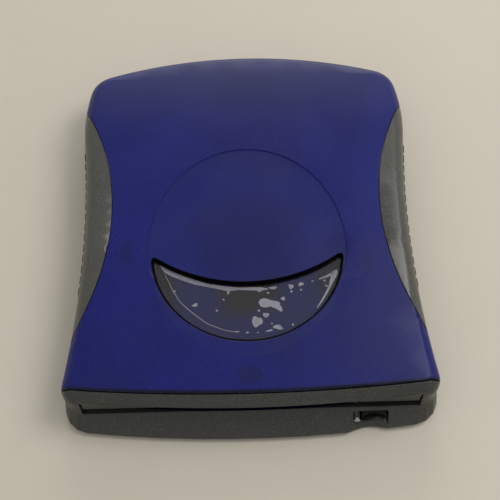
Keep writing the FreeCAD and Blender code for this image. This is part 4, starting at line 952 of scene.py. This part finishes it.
# %% Black border and painted wall shade
DARK_RIM_LOW = LENS_TOP + 0.005 * MM
WALL_SHADE_WIDTH = 0.2 * MM
BORDER_WIDTH = 0.8 * MM
DARK_RIM_STEP = 0.08 * MM
SKIN_DROP = 0.08 * MM
JUST_OUTSIDE = 0.13 * MM


def window_ring(bm, z, width):
    """A flat ring along the outline, and the points on its inner side."""
    face = window_face(bm, z, LENS_GAP)
    ring = inset_rim(bm, face, width)
    inner = set(face.verts)
    bmesh.ops.delete(bm, geom=[face], context="FACES_ONLY")
    return ring, inner


def skin_height(x, y):
    """How high the lid's skin lies at a place."""
    place = skin_tree.ray_cast(Vector((x, y, PRISM_HEIGHT * 2)), -UP)[0]
    return place.z if place and place.z > LENS_TOP else LENS_TOP + DARK_RIM_STEP


border = bmesh.new()
# the black border on the lens: print, with painted shade at the rim
raise_faces(border, window_ring(border, DARK_RIM_LOW, BORDER_WIDTH)[0], DARK_RIM_STEP)
piece_from(
    facing_out(border), "window_border_print_and_shade", "chassis", "bezel_grey", PLATE_FOLD, "window_print_and_shade_black"
)

# painted shade: a black lining up the wall of the opening
wall = bmesh.new()
ring, inner = window_ring(wall, DARK_RIM_LOW, WALL_SHADE_WIDTH)
heights = {}
for rung in [e for e in wall.edges if (e.verts[0] in inner) != (e.verts[1] in inner)]:
    near, far = sorted(rung.verts, key=lambda v: v not in inner)
    outside = far.co + (far.co - near.co).normalized() * JUST_OUTSIDE
    heights[near] = heights[far] = skin_height(outside.x, outside.y) - SKIN_DROP
for face in raise_faces(wall, ring, DARK_RIM_STEP):
    for vert in face.verts:
        below = next(e.other_vert(vert) for e in vert.link_edges if e.other_vert(vert) in heights)
        vert.co.z = heights[below]
piece_from(
    facing_out(wall), "window_wall_painted_shade", "chassis", "bezel_grey", PLATE_FOLD, "window_print_and_shade_black"
)
print("gasket points", len(heights), "height", round(max(heights.values()) / MM, 2), "mm")

# %% [markdown]
# ## What is left of the film's silver
# Patches of silver still lie on the film. Each is a small disc, stretched, turned and given
# a wavering rim, then extruded. Each gets its own thickness, so that two that overlap never
# share a surface. Their places are read from the picture, and the camera tells where each
# lies on the film.

# %% Silver patches
PATCH_SIDES = 18
THINNEST, THICKENING = 0.6, 0.3
# height, number and turn from patch to patch of the waves in a rim
WAVES = ((0.16, 3, 1), (0.09, 5, 2))
# centre in the picture, half width and half height in pixels, turn in degrees
PATCHES = (
    (268, 303.5, 10.5, 4, -6), (276.5, 306, 5.5, 3.6, -32), (280.5, 310, 2.4, 1.6, -40),
    (283, 299, 2, 1.8, 0), (259, 311, 1.2, 1, 0), (266, 315.5, 3, 2.3, 0), (257, 322, 5.4, 5, 0),
    (272, 324, 0.9, 0.8, 0), (278, 327.5, 4.8, 2.2, -14), (293, 325, 0.8, 1.2, 0),
    (195, 305.5, 2.8, 1.5, 20), (174.5, 292, 1.6, 0.8, 40), (217, 311, 1.1, 0.9, 0),
    (223.5, 300, 1, 0.8, 0), (228, 292, 1.3, 3, 10), (260, 290.5, 2.6, 1.6, 30),
    (268, 293.2, 1.3, 0.9, 0), (273, 288.3, 4, 1.3, 4), (291, 287, 2.5, 2.3, 0),
    (291.5, 292, 1.2, 0.9, 0), (301, 284.5, 2.8, 1.7, 20), (301, 290.2, 1, 0.8, 0),
    (312.5, 281.5, 0.9, 0.7, 0), (324.5, 281, 1.1, 0.9, 0), (326.3, 286.2, 1.4, 0.8, -35),
    (237, 332, 2.6, 0.6, -4), (247.5, 333, 1.6, 0.7, 0), (258, 333, 0.9, 0.5, 0),
    (269.5, 331, 3.6, 0.8, 12),
)
patches = bmesh.new()
for index, (px, py, half_x, half_y, turn) in enumerate(PATCHES):
    centre = photo_point(px, py, SHEET_TOP)
    side = photo_point(px + half_x, py, SHEET_TOP)
    above = photo_point(px, py - half_y, SHEET_TOP)
    disc = bmesh.ops.create_circle(patches, cap_ends=True, segments=PATCH_SIDES, radius=1.0)
    for k, vert in enumerate(disc["verts"]):
        angle = 2 * math.pi * k / PATCH_SIDES
        vert.co *= 1 + sum(h * math.sin(n * angle + t * index) for h, n, t in WAVES)
    shape = Matrix.Diagonal(((side - centre).length, (above - centre).length, 1, 1))
    move = Matrix.Translation(centre) @ Matrix.Rotation(math.radians(turn), 4, "Z") @ shape
    bmesh.ops.transform(patches, matrix=move, verts=disc["verts"])
    share = THINNEST + THICKENING * index / len(PATCHES)
    raise_faces(patches, disc["verts"][0].link_faces[:1], COATING * share)
print("patches", len(PATCHES))

# %% [markdown]
# Along the rim the coating is left as ribbons: one short edge is extruded from place to
# place, taking a new width at each, and the strip is then given its thickness.

# %% Silver ribbons
# centre in the picture and half width in pixels, from place to place
RIBBONS = (
    ((160, 266, 0.6), (166, 271, 2.4), (174, 274.5, 3), (184, 279, 2.4), (196, 283, 2.2),
     (207, 285.8, 1.6), (218, 287.6, 1.9), (228, 289.3, 2.4), (238, 289.2, 1.2), (250, 289.2, 1.5),
     (260, 289.3, 1.7), (268, 289.5, 0.5)),
    ((337, 270.5, 1), (334.5, 273.5, 3), (332.5, 279, 2.2), (330, 286, 1.2), (326, 294, 1),
     (321, 302.5, 0.8), (317, 308, 0.4)),
    ((333, 273.5, 1.4), (326, 277, 1), (319, 279.5, 0.5)),
    ((165, 275, 0.2), (173.5, 292, 0.3), (180.5, 303, 0.3), (192, 313, 0.3), (207, 324, 0.3),
     (224, 330.5, 0.3), (238, 332.8, 0.2)),
)
for places in RIBBONS:
    rungs = []
    for k, (px, py, half) in enumerate(places):
        before = places[max(k - 1, 0)]
        after = places[min(k + 1, len(places) - 1)]
        along = Vector((after[0] - before[0], after[1] - before[1])).normalized() * half
        rungs.append([photo_point(px - s * along.y, py + s * along.x, SHEET_TOP) for s in (-1, 1)])
    ends = [patches.verts.new(point) for point in rungs[0]]
    edge = patches.edges.new(ends)
    strip = []
    for rung in rungs[1:]:
        grown = bmesh.ops.extrude_edge_only(patches, edges=[edge])["geom"]
        strip += faces_in(grown)
        start = ends[0].co
        ends = sorted(verts_in(grown), key=lambda v: (v.co - start).length)
        edge = patches.edges.get(ends)
        for vert, point in zip(ends, rung):
            vert.co = point
    raise_faces(patches, strip, COATING)
piece_from(
    facing_out(patches), "window_silver_patches", "chassis", "film_silver", PLATE_FOLD
)
print("ribbons", len(RIBBONS))

# %% [markdown]
# ## Light pipe
# The clear pipe ends in a soft flange round a small dimple, so its end shows as a bright ring; the dark
# middle is painted shade in the pipe's finish. A turned piece is an outline carried once round its
# axis, which the spin operator does.

# %% Light pipe
PIPE_SIDES = 24
TURNED_FOLD = 50.0
# share of the radius, and depth behind the tip in millimetres
PIPE_END = (
    (0.0, 0.55), (0.30, 0.42), (0.50, 0.12), (0.72, 0.0), (1.05, 0.0), (1.22, 0.06), (1.28, 0.16),
    (1.22, 0.26), (1.0, 0.30),
)


def turned(bm, outline, centre, axis, steps):
    """Carry a line of points once round an axis, and close it where it meets the axis."""
    verts = [bm.verts.new(point) for point in outline]
    edges = [bm.edges.new(pair) for pair in zip(verts, verts[1:])]
    bmesh.ops.spin(
        bm, geom=verts + edges, cent=centre, axis=axis, dvec=(0, 0, 0), angle=2 * math.pi,
        steps=steps, use_merge=True, use_duplicate=False,
    )


outline = [
    Vector((pipe_middle.x + share * pipe_radius, pipe_low.y + depth * MM, pipe_middle.z))
    for share, depth in PIPE_END
]
outline += [Vector((x, pipe_high.y, pipe_middle.z)) for x in (pipe_high.x, pipe_middle.x)]
pipe = bmesh.new()
turned(pipe, outline, pipe_middle, (0, 1, 0), PIPE_SIDES)
facing_out(welded(pipe))
pipe = piece_from(pipe, "light_pipe_drawn", BODY_OF["light_pipe"], "pipe_clear", TURNED_FOLD)
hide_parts("light_pipe")
print("light pipe faces", len(pipe.data.polygons))

# %% [markdown]
# ## Screws
# Every small screw here is the same kind: a low round head with a cross recess. A disc is
# extruded, its rim drawn in for the rounded shoulder, and its top inset. Pulling every
# fourth point of that inset out and the others in turns it into a four-armed star, which is
# then pushed down into the head. Case screws face the table, inner screws face up.

# %% Screws
SCREW_SIDES = 16
STAR_REACH = (1.0, 0.5, 0.38, 0.5)
SIDE_SHARE = 0.55
SHOULDER_SCALE = 0.72
STAR_SCALE = 0.80
RECESS_SHARE = 0.6
RECESS_SCALE = 0.7
TIP_SHARE = 0.5
TURN_STEP = 0.7


def ring_extrude(bm, face, rise, scale=1.0):
    """Extrude one face along its normal, and scale it about its middle."""
    grown = bmesh.ops.extrude_discrete_faces(bm, faces=[face])["faces"][0]
    middle = grown.calc_center_median()
    bmesh.ops.translate(bm, verts=grown.verts, vec=grown.normal * rise)
    turn_back = Matrix.Translation(-middle - grown.normal * rise)
    bmesh.ops.scale(bm, verts=grown.verts, vec=(scale, scale, scale), space=turn_back)
    return grown


def move_new(bm, before, matrix):
    """Move the points that weren't there before."""
    bmesh.ops.transform(bm, matrix=matrix, verts=[v for v in bm.verts if v not in before])


def add_screw(bm, seat, head_radius, head_height, shank_radius, shank_length, up, turn):
    """A screw whose head sits on a seat and looks up, or down for up = -1."""
    before = set(bm.verts)
    disc = bmesh.ops.create_circle(bm, cap_ends=True, segments=SCREW_SIDES, radius=head_radius)
    face = disc["verts"][0].link_faces[0]
    if face.normal.z < 0:
        face.normal_flip()
    side = ring_extrude(bm, face, head_height * SIDE_SHARE)
    shoulder = ring_extrude(bm, side, head_height * (1 - SIDE_SHARE), SHOULDER_SCALE)
    star = ring_extrude(bm, shoulder, 0.0, STAR_SCALE)
    middle = star.calc_center_median()
    for k, vert in enumerate(star.verts):
        vert.co = middle + (vert.co - middle) * STAR_REACH[k % 4]
    ring_extrude(bm, star, -head_height * RECESS_SHARE, RECESS_SCALE)
    bmesh.ops.create_cone(
        bm, cap_ends=True, segments=SCREW_SIDES, radius1=shank_radius * TIP_SHARE,
        radius2=shank_radius, depth=shank_length,
        matrix=Matrix.Translation((0, 0, -shank_length / 2)),
    )
    flip = Matrix.Rotation(0 if up > 0 else math.pi, 4, "X")
    move_new(bm, before, Matrix.Translation(seat) @ flip @ Matrix.Rotation(turn, 4, "Z"))


def screw_object(name, seats, *sizes, up=1):
    """All screws of one size: head radius and height, shank radius and length."""
    bm = bmesh.new()
    for index, seat in enumerate(seats):
        add_screw(bm, seat, *sizes, up, TURN_STEP * index)
    return piece_from(bm, name, "chassis", "screw_steel", PLATE_FOLD)


def seats_at(places, z):
    return [Vector((x * MM, y * MM, z)) for x, y in places]


screw_low, screw_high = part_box("case_screws")
HEAD_RADIUS, HEAD_HEIGHT = 1.6 * MM, 1.1 * MM
SHANK_RADIUS = 1.0 * MM
# head radius and height, shank radius and length
BOARD_SIZES = (1.15 * MM, 0.5 * MM, 0.5 * MM, 1.1 * MM)
SHIELD_SIZES = (1.2 * MM, 0.5 * MM, 0.5 * MM, 1.2 * MM)
RAIL_FOOT_TOP = 3.3 * MM
SHIELD_TOP = 14.4 * MM
CASE_SCREWS = ((-52.0, -50.6), (52.0, -50.6), (-46.6, 50.0), (46.6, 50.0))
BOARD_SCREWS = ((-38.0, -51.0), (26.4, -51.5), (-39.0, 38.0), (39.5, 38.0), (0.0, 46.0))
RAIL_SCREWS = ((-47.1, -34.0), (47.1, -34.0), (-47.1, 36.0), (47.1, 36.0))
SHIELD_SCREWS = ((-46.4, 44.9), (46.4, 44.9), (-49.4, -45.4), (49.4, -45.4))
case_screws = screw_object(
    "case_screws_drawn", seats_at(CASE_SCREWS, screw_low.z + HEAD_HEIGHT), HEAD_RADIUS,
    HEAD_HEIGHT, SHANK_RADIUS, screw_high.z - screw_low.z - HEAD_HEIGHT, up=-1,
)
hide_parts("case_screws")
board_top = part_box("main_board")[1].z
small = seats_at(BOARD_SCREWS, board_top) + seats_at(RAIL_SCREWS, RAIL_FOOT_TOP)
screw_object("board_and_rail_screws", small, *BOARD_SIZES)
screw_object("shield_screws", seats_at(SHIELD_SCREWS, SHIELD_TOP), *SHIELD_SIZES)
print("screws", len(CASE_SCREWS + BOARD_SCREWS + RAIL_SCREWS + SHIELD_SCREWS))

# %% [markdown]
# ## Springs
# A coil spring is a small ring carried round an axis while it moves along it. The spin
# operator does both at once: the angle is the number of turns, and the shift per step is the
# spring's length shared over the steps. The two here push the sliding platform forward.

# %% Platform springs
WIRE_SIDES = 6
STEPS_PER_TURN = 14
SPRING_TURNS = 9
SPRING_FOLD = 60.0
SPRING_X = 33.0 * MM
SPRING_Z = 3.95 * MM
WIRE_RADIUS = 0.1 * MM
COIL_REACH = 0.45 * MM


def add_spring(bm, middle, start_y, length, hand):
    """A coil along Y, wound to one hand or the other."""
    ring = bmesh.ops.create_circle(
        bm, segments=WIRE_SIDES, radius=WIRE_RADIUS, cap_ends=False,
        matrix=Matrix.Translation((middle.x + COIL_REACH, start_y, middle.z)),
    )["verts"]
    edges = [e for e in bm.edges if e.verts[0] in ring and e.verts[1] in ring]
    steps = SPRING_TURNS * STEPS_PER_TURN
    bmesh.ops.spin(
        bm, geom=ring + edges, cent=middle, axis=(0, 1, 0), dvec=(0, length / steps, 0),
        angle=hand * 2 * math.pi * SPRING_TURNS, steps=steps, use_duplicate=False,
    )
    bmesh.ops.holes_fill(bm, edges=[e for e in bm.edges if e.is_boundary], sides=WIRE_SIDES)


spring_low, spring_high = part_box("platform_springs")
length = spring_high.y - spring_low.y - 2 * WIRE_RADIUS
springs = bmesh.new()
for side in (-1, 1):
    middle = Vector((side * SPRING_X, 0, SPRING_Z))
    add_spring(springs, middle, spring_low.y + WIRE_RADIUS, length, side)
facing_out(springs)
springs = piece_from(springs, "platform_coil_springs", "chassis", "spring_steel", SPRING_FOLD)
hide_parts("platform_springs")
print("spring turns", SPRING_TURNS, "faces", len(springs.data.polygons))

# %% [markdown]
# ## Windings
# Enamelled wire wound on a core shows as a stack of fine rings. For the nine round coils of
# the spindle motor, a wavy outline is spun about each coil's own axis. The two long coils
# of the head actuator are rounded frames, extruded in steps that swell and shrink.

# %% Motor coils
COIL_COUNT = 9
COIL_RING = 6.6 * MM
COIL_RADIUS = 1.9 * MM
COIL_LAYERS = 5
WIRE_IN, WIRE_OUT = 0.86, 0.97
# the well in a coil's top, as shares of its radius and its height
COIL_WELL = ((0.35, 1.0), (0.3, 0.6), (0.0, 0.6))
coils_low, coils_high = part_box("stator_coils")
shaft_low, shaft_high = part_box("spindle_shaft")
motor_y = (shaft_low.y + shaft_high.y) / 2
height = coils_high.z - coils_low.z
windings = bmesh.new()
for k in range(COIL_COUNT):
    angle = 2 * math.pi * k / COIL_COUNT
    centre = Vector((COIL_RING * math.cos(angle), motor_y + COIL_RING * math.sin(angle), coils_low.z))
    shares = [(0.0, 0.0)]
    for step in range(2 * COIL_LAYERS + 1):
        shares.append((WIRE_OUT if step % 2 else WIRE_IN, step / (2 * COIL_LAYERS)))
    shares += COIL_WELL
    outline = [centre + Vector((COIL_RADIUS * out, 0, height * up)) for out, up in shares]
    turned(windings, outline, centre, UP, SCREW_SIDES)
facing_out(welded(windings))
coils = piece_from(windings, "motor_windings", "platform", "coil_copper", TURNED_FOLD)
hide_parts("stator_coils")
print("motor coils", COIL_COUNT, "faces", len(coils.data.polygons))

# %% [markdown]
# A frame coil starts as a flat grid of one face. Its corners are rounded, its middle is
# inset and taken out, and the ring that is left grows layer by layer along Y.

# %% Head actuator coils
VOICE_LAYERS = 9
VOICE_WIDTH = 8.0 * MM
VOICE_WALL = 1.692308 * MM
VOICE_ROUND = 0.9 * MM
VOICE_SWELL = 0.97


def add_frame_coil(bm, centre, height, depth):
    """A wound frame that lies round an axis along Y."""
    before = set(bm.verts)
    outer = bmesh.ops.create_grid(bm, x_segments=1, y_segments=1, size=0.5)["verts"]
    bmesh.ops.scale(bm, verts=outer, vec=(VOICE_WIDTH, height, 1))
    bmesh.ops.bevel(
        bm, geom=outer, offset=VOICE_ROUND, offset_type="OFFSET", affect="VERTICES",
        segments=3, profile=0.5, material=-1,
    )
    face = next(f for f in bm.faces if not set(f.verts) & before)
    bmesh.ops.inset_individual(bm, faces=[face], thickness=VOICE_WALL)
    bmesh.ops.delete(bm, geom=[face], context="FACES_ONLY")
    shell = [f for f in bm.faces if not set(f.verts) & before]
    for layer in range(VOICE_LAYERS):
        grown = bmesh.ops.extrude_face_region(bm, geom=shell)["geom"]
        shell = faces_in(grown)
        verts = verts_in(grown)
        bmesh.ops.translate(bm, verts=verts, vec=(0, 0, depth / VOICE_LAYERS))
        swell = VOICE_SWELL if layer % 2 == 0 else 1 / VOICE_SWELL
        bmesh.ops.scale(bm, verts=verts, vec=(swell, swell, 1))
    move_new(bm, before, Matrix.Translation(centre) @ Matrix.Rotation(math.pi / 2, 4, "X"))


voice_low, voice_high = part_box("voice_coils")
voice = bmesh.new()
for side in (-1, 1):
    middle_x = side * (voice_high.x - VOICE_WIDTH / 2)
    place = Vector((middle_x, voice_high.y, (voice_low.z + voice_high.z) / 2))
    add_frame_coil(voice, place, voice_high.z - voice_low.z, voice_high.y - voice_low.y)
voice = piece_from(facing_out(voice), "head_coil_windings", "head", "coil_copper", TURNED_FOLD)
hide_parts("voice_coils")
print("head coils reach", [round(c / MM, 2) for c in voice.bound_box[6]])

# %% [markdown]
# ## Leads and contacts
# Each chip stands on a row of bent leads along two sides. A lead is two small blocks, one
# for the shoulder at the chip's wall and one for the foot on the board. The socket's tongue
# carries two pairs of flat contacts, on its upper and its lower side.

# %% Chip leads and socket contacts
LEAD_PITCH = 0.8 * MM
LEAD_WIDTH = 0.35 * MM
LEAD_REACH = 0.45 * MM
LEAD_THICKNESS = 0.15 * MM
LEAD_SHARE = 0.55
LEAD_MARGIN = 0.7 * MM
CONTACT_SIZE = Vector((0.9, 5.6, 0.08)) * MM
CONTACT_APART = 2.2 * MM


def add_block(bm, low, high):
    """A block between two corners."""
    size = high - low
    place = Matrix.Translation((low + high) / 2) @ Matrix.Diagonal((*size, 1))
    bmesh.ops.create_cube(bm, size=1.0, matrix=place)


def separate_parts(bm):
    """The lowest and highest corners of the closed parts of a bmesh, from left to right."""
    left = set(bm.verts)
    boxes = []
    while left:
        fresh = {left.pop()}
        found = set()
        while fresh:
            found |= fresh
            fresh = {e.other_vert(v) for v in fresh for e in v.link_edges} & left
            left -= fresh
        boxes.append([
            Vector(pick(v.co[axis] for v in found) for axis in range(3)) for pick in (min, max)
        ])
    return sorted(boxes, key=lambda box: box[0].x)


leads = bmesh.new()
chips = merged("board_chips")
for low, high in separate_parts(chips):
    count = int((high.x - low.x - 2 * LEAD_MARGIN) / LEAD_PITCH) + 1
    first = (low.x + high.x) / 2 - (count - 1) * LEAD_PITCH / 2
    shoulder = low.z + (high.z - low.z) * LEAD_SHARE
    foot = low.z + LEAD_THICKNESS
    for k in range(count):
        x0 = first + k * LEAD_PITCH - LEAD_WIDTH / 2
        for wall, side in ((low.y, -1), (high.y, 1)):
            bend = wall + side * LEAD_THICKNESS
            for start, end, top in ((wall, bend, shoulder), (bend, wall + side * LEAD_REACH, foot)):
                y0, y1 = sorted((start, end))
                add_block(leads, Vector((x0, y0, low.z)), Vector((x0 + LEAD_WIDTH, y1, top)))
chips.free()
leads = piece_from(leads, "chip_leads", "chassis", "screw_steel", PLATE_FOLD, "solder_bright")

tongue_low, tongue_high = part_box("usb_insert")
contacts = bmesh.new()
for z0 in (tongue_low.z - CONTACT_SIZE.z, tongue_high.z):
    for side in (-1, 1):
        x = (tongue_low.x + tongue_high.x) / 2 + side * CONTACT_APART / 2
        y0 = tongue_high.y - LEAD_MARGIN - CONTACT_SIZE.y
        start = Vector((x - CONTACT_SIZE.x / 2, y0, z0))
        add_block(contacts, start, start + CONTACT_SIZE)
piece_from(contacts, "socket_contacts", "chassis", "socket_steel", PLATE_FOLD, "contact_gold")
print("leads have", len(leads.data.polygons), "faces")

# %% [markdown]
# ## Table
# The table is one flat sheet, wide enough to fill the picture from every side. It is part
# of the stage, not of the drive, so it doesn't count in the drive's size.

# %% Table
FLOOR_HALF = 1.6
FLOOR_COLOUR = rgb(0.56, 0.52, 0.44)
FLOOR_FLECK = rgb(0.56, 0.53, 0.46)
plastic(
    "table_top", FLOOR_COLOUR, fleck=FLOOR_FLECK, fleck_amount=0.3, fleck_size=1.4,
    unevenness=0.025, roughness=0.6, grain_size=0.8, grain_depth=0.01,
)
table = bmesh.new()
bmesh.ops.create_grid(table, x_segments=2, y_segments=2, size=FLOOR_HALF)
mesh = bpy.data.meshes.new("table")
table.to_mesh(mesh)
table.free()
mesh.materials.append(MATERIALS["table_top"])
floor = add_object("table", mesh)
floor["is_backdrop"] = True
print("table", 2 * FLOOR_HALF, "m wide")

# %% [markdown]
# ## Sizes
# The size of everything shown, the table left out, is printed. Nothing added here may
# make the drive bigger than its solids.

# %% Sizes, and the last word
low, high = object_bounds()
print("size", [round((b - a) / MM, 2) for a, b in zip(low, high)], "mm")
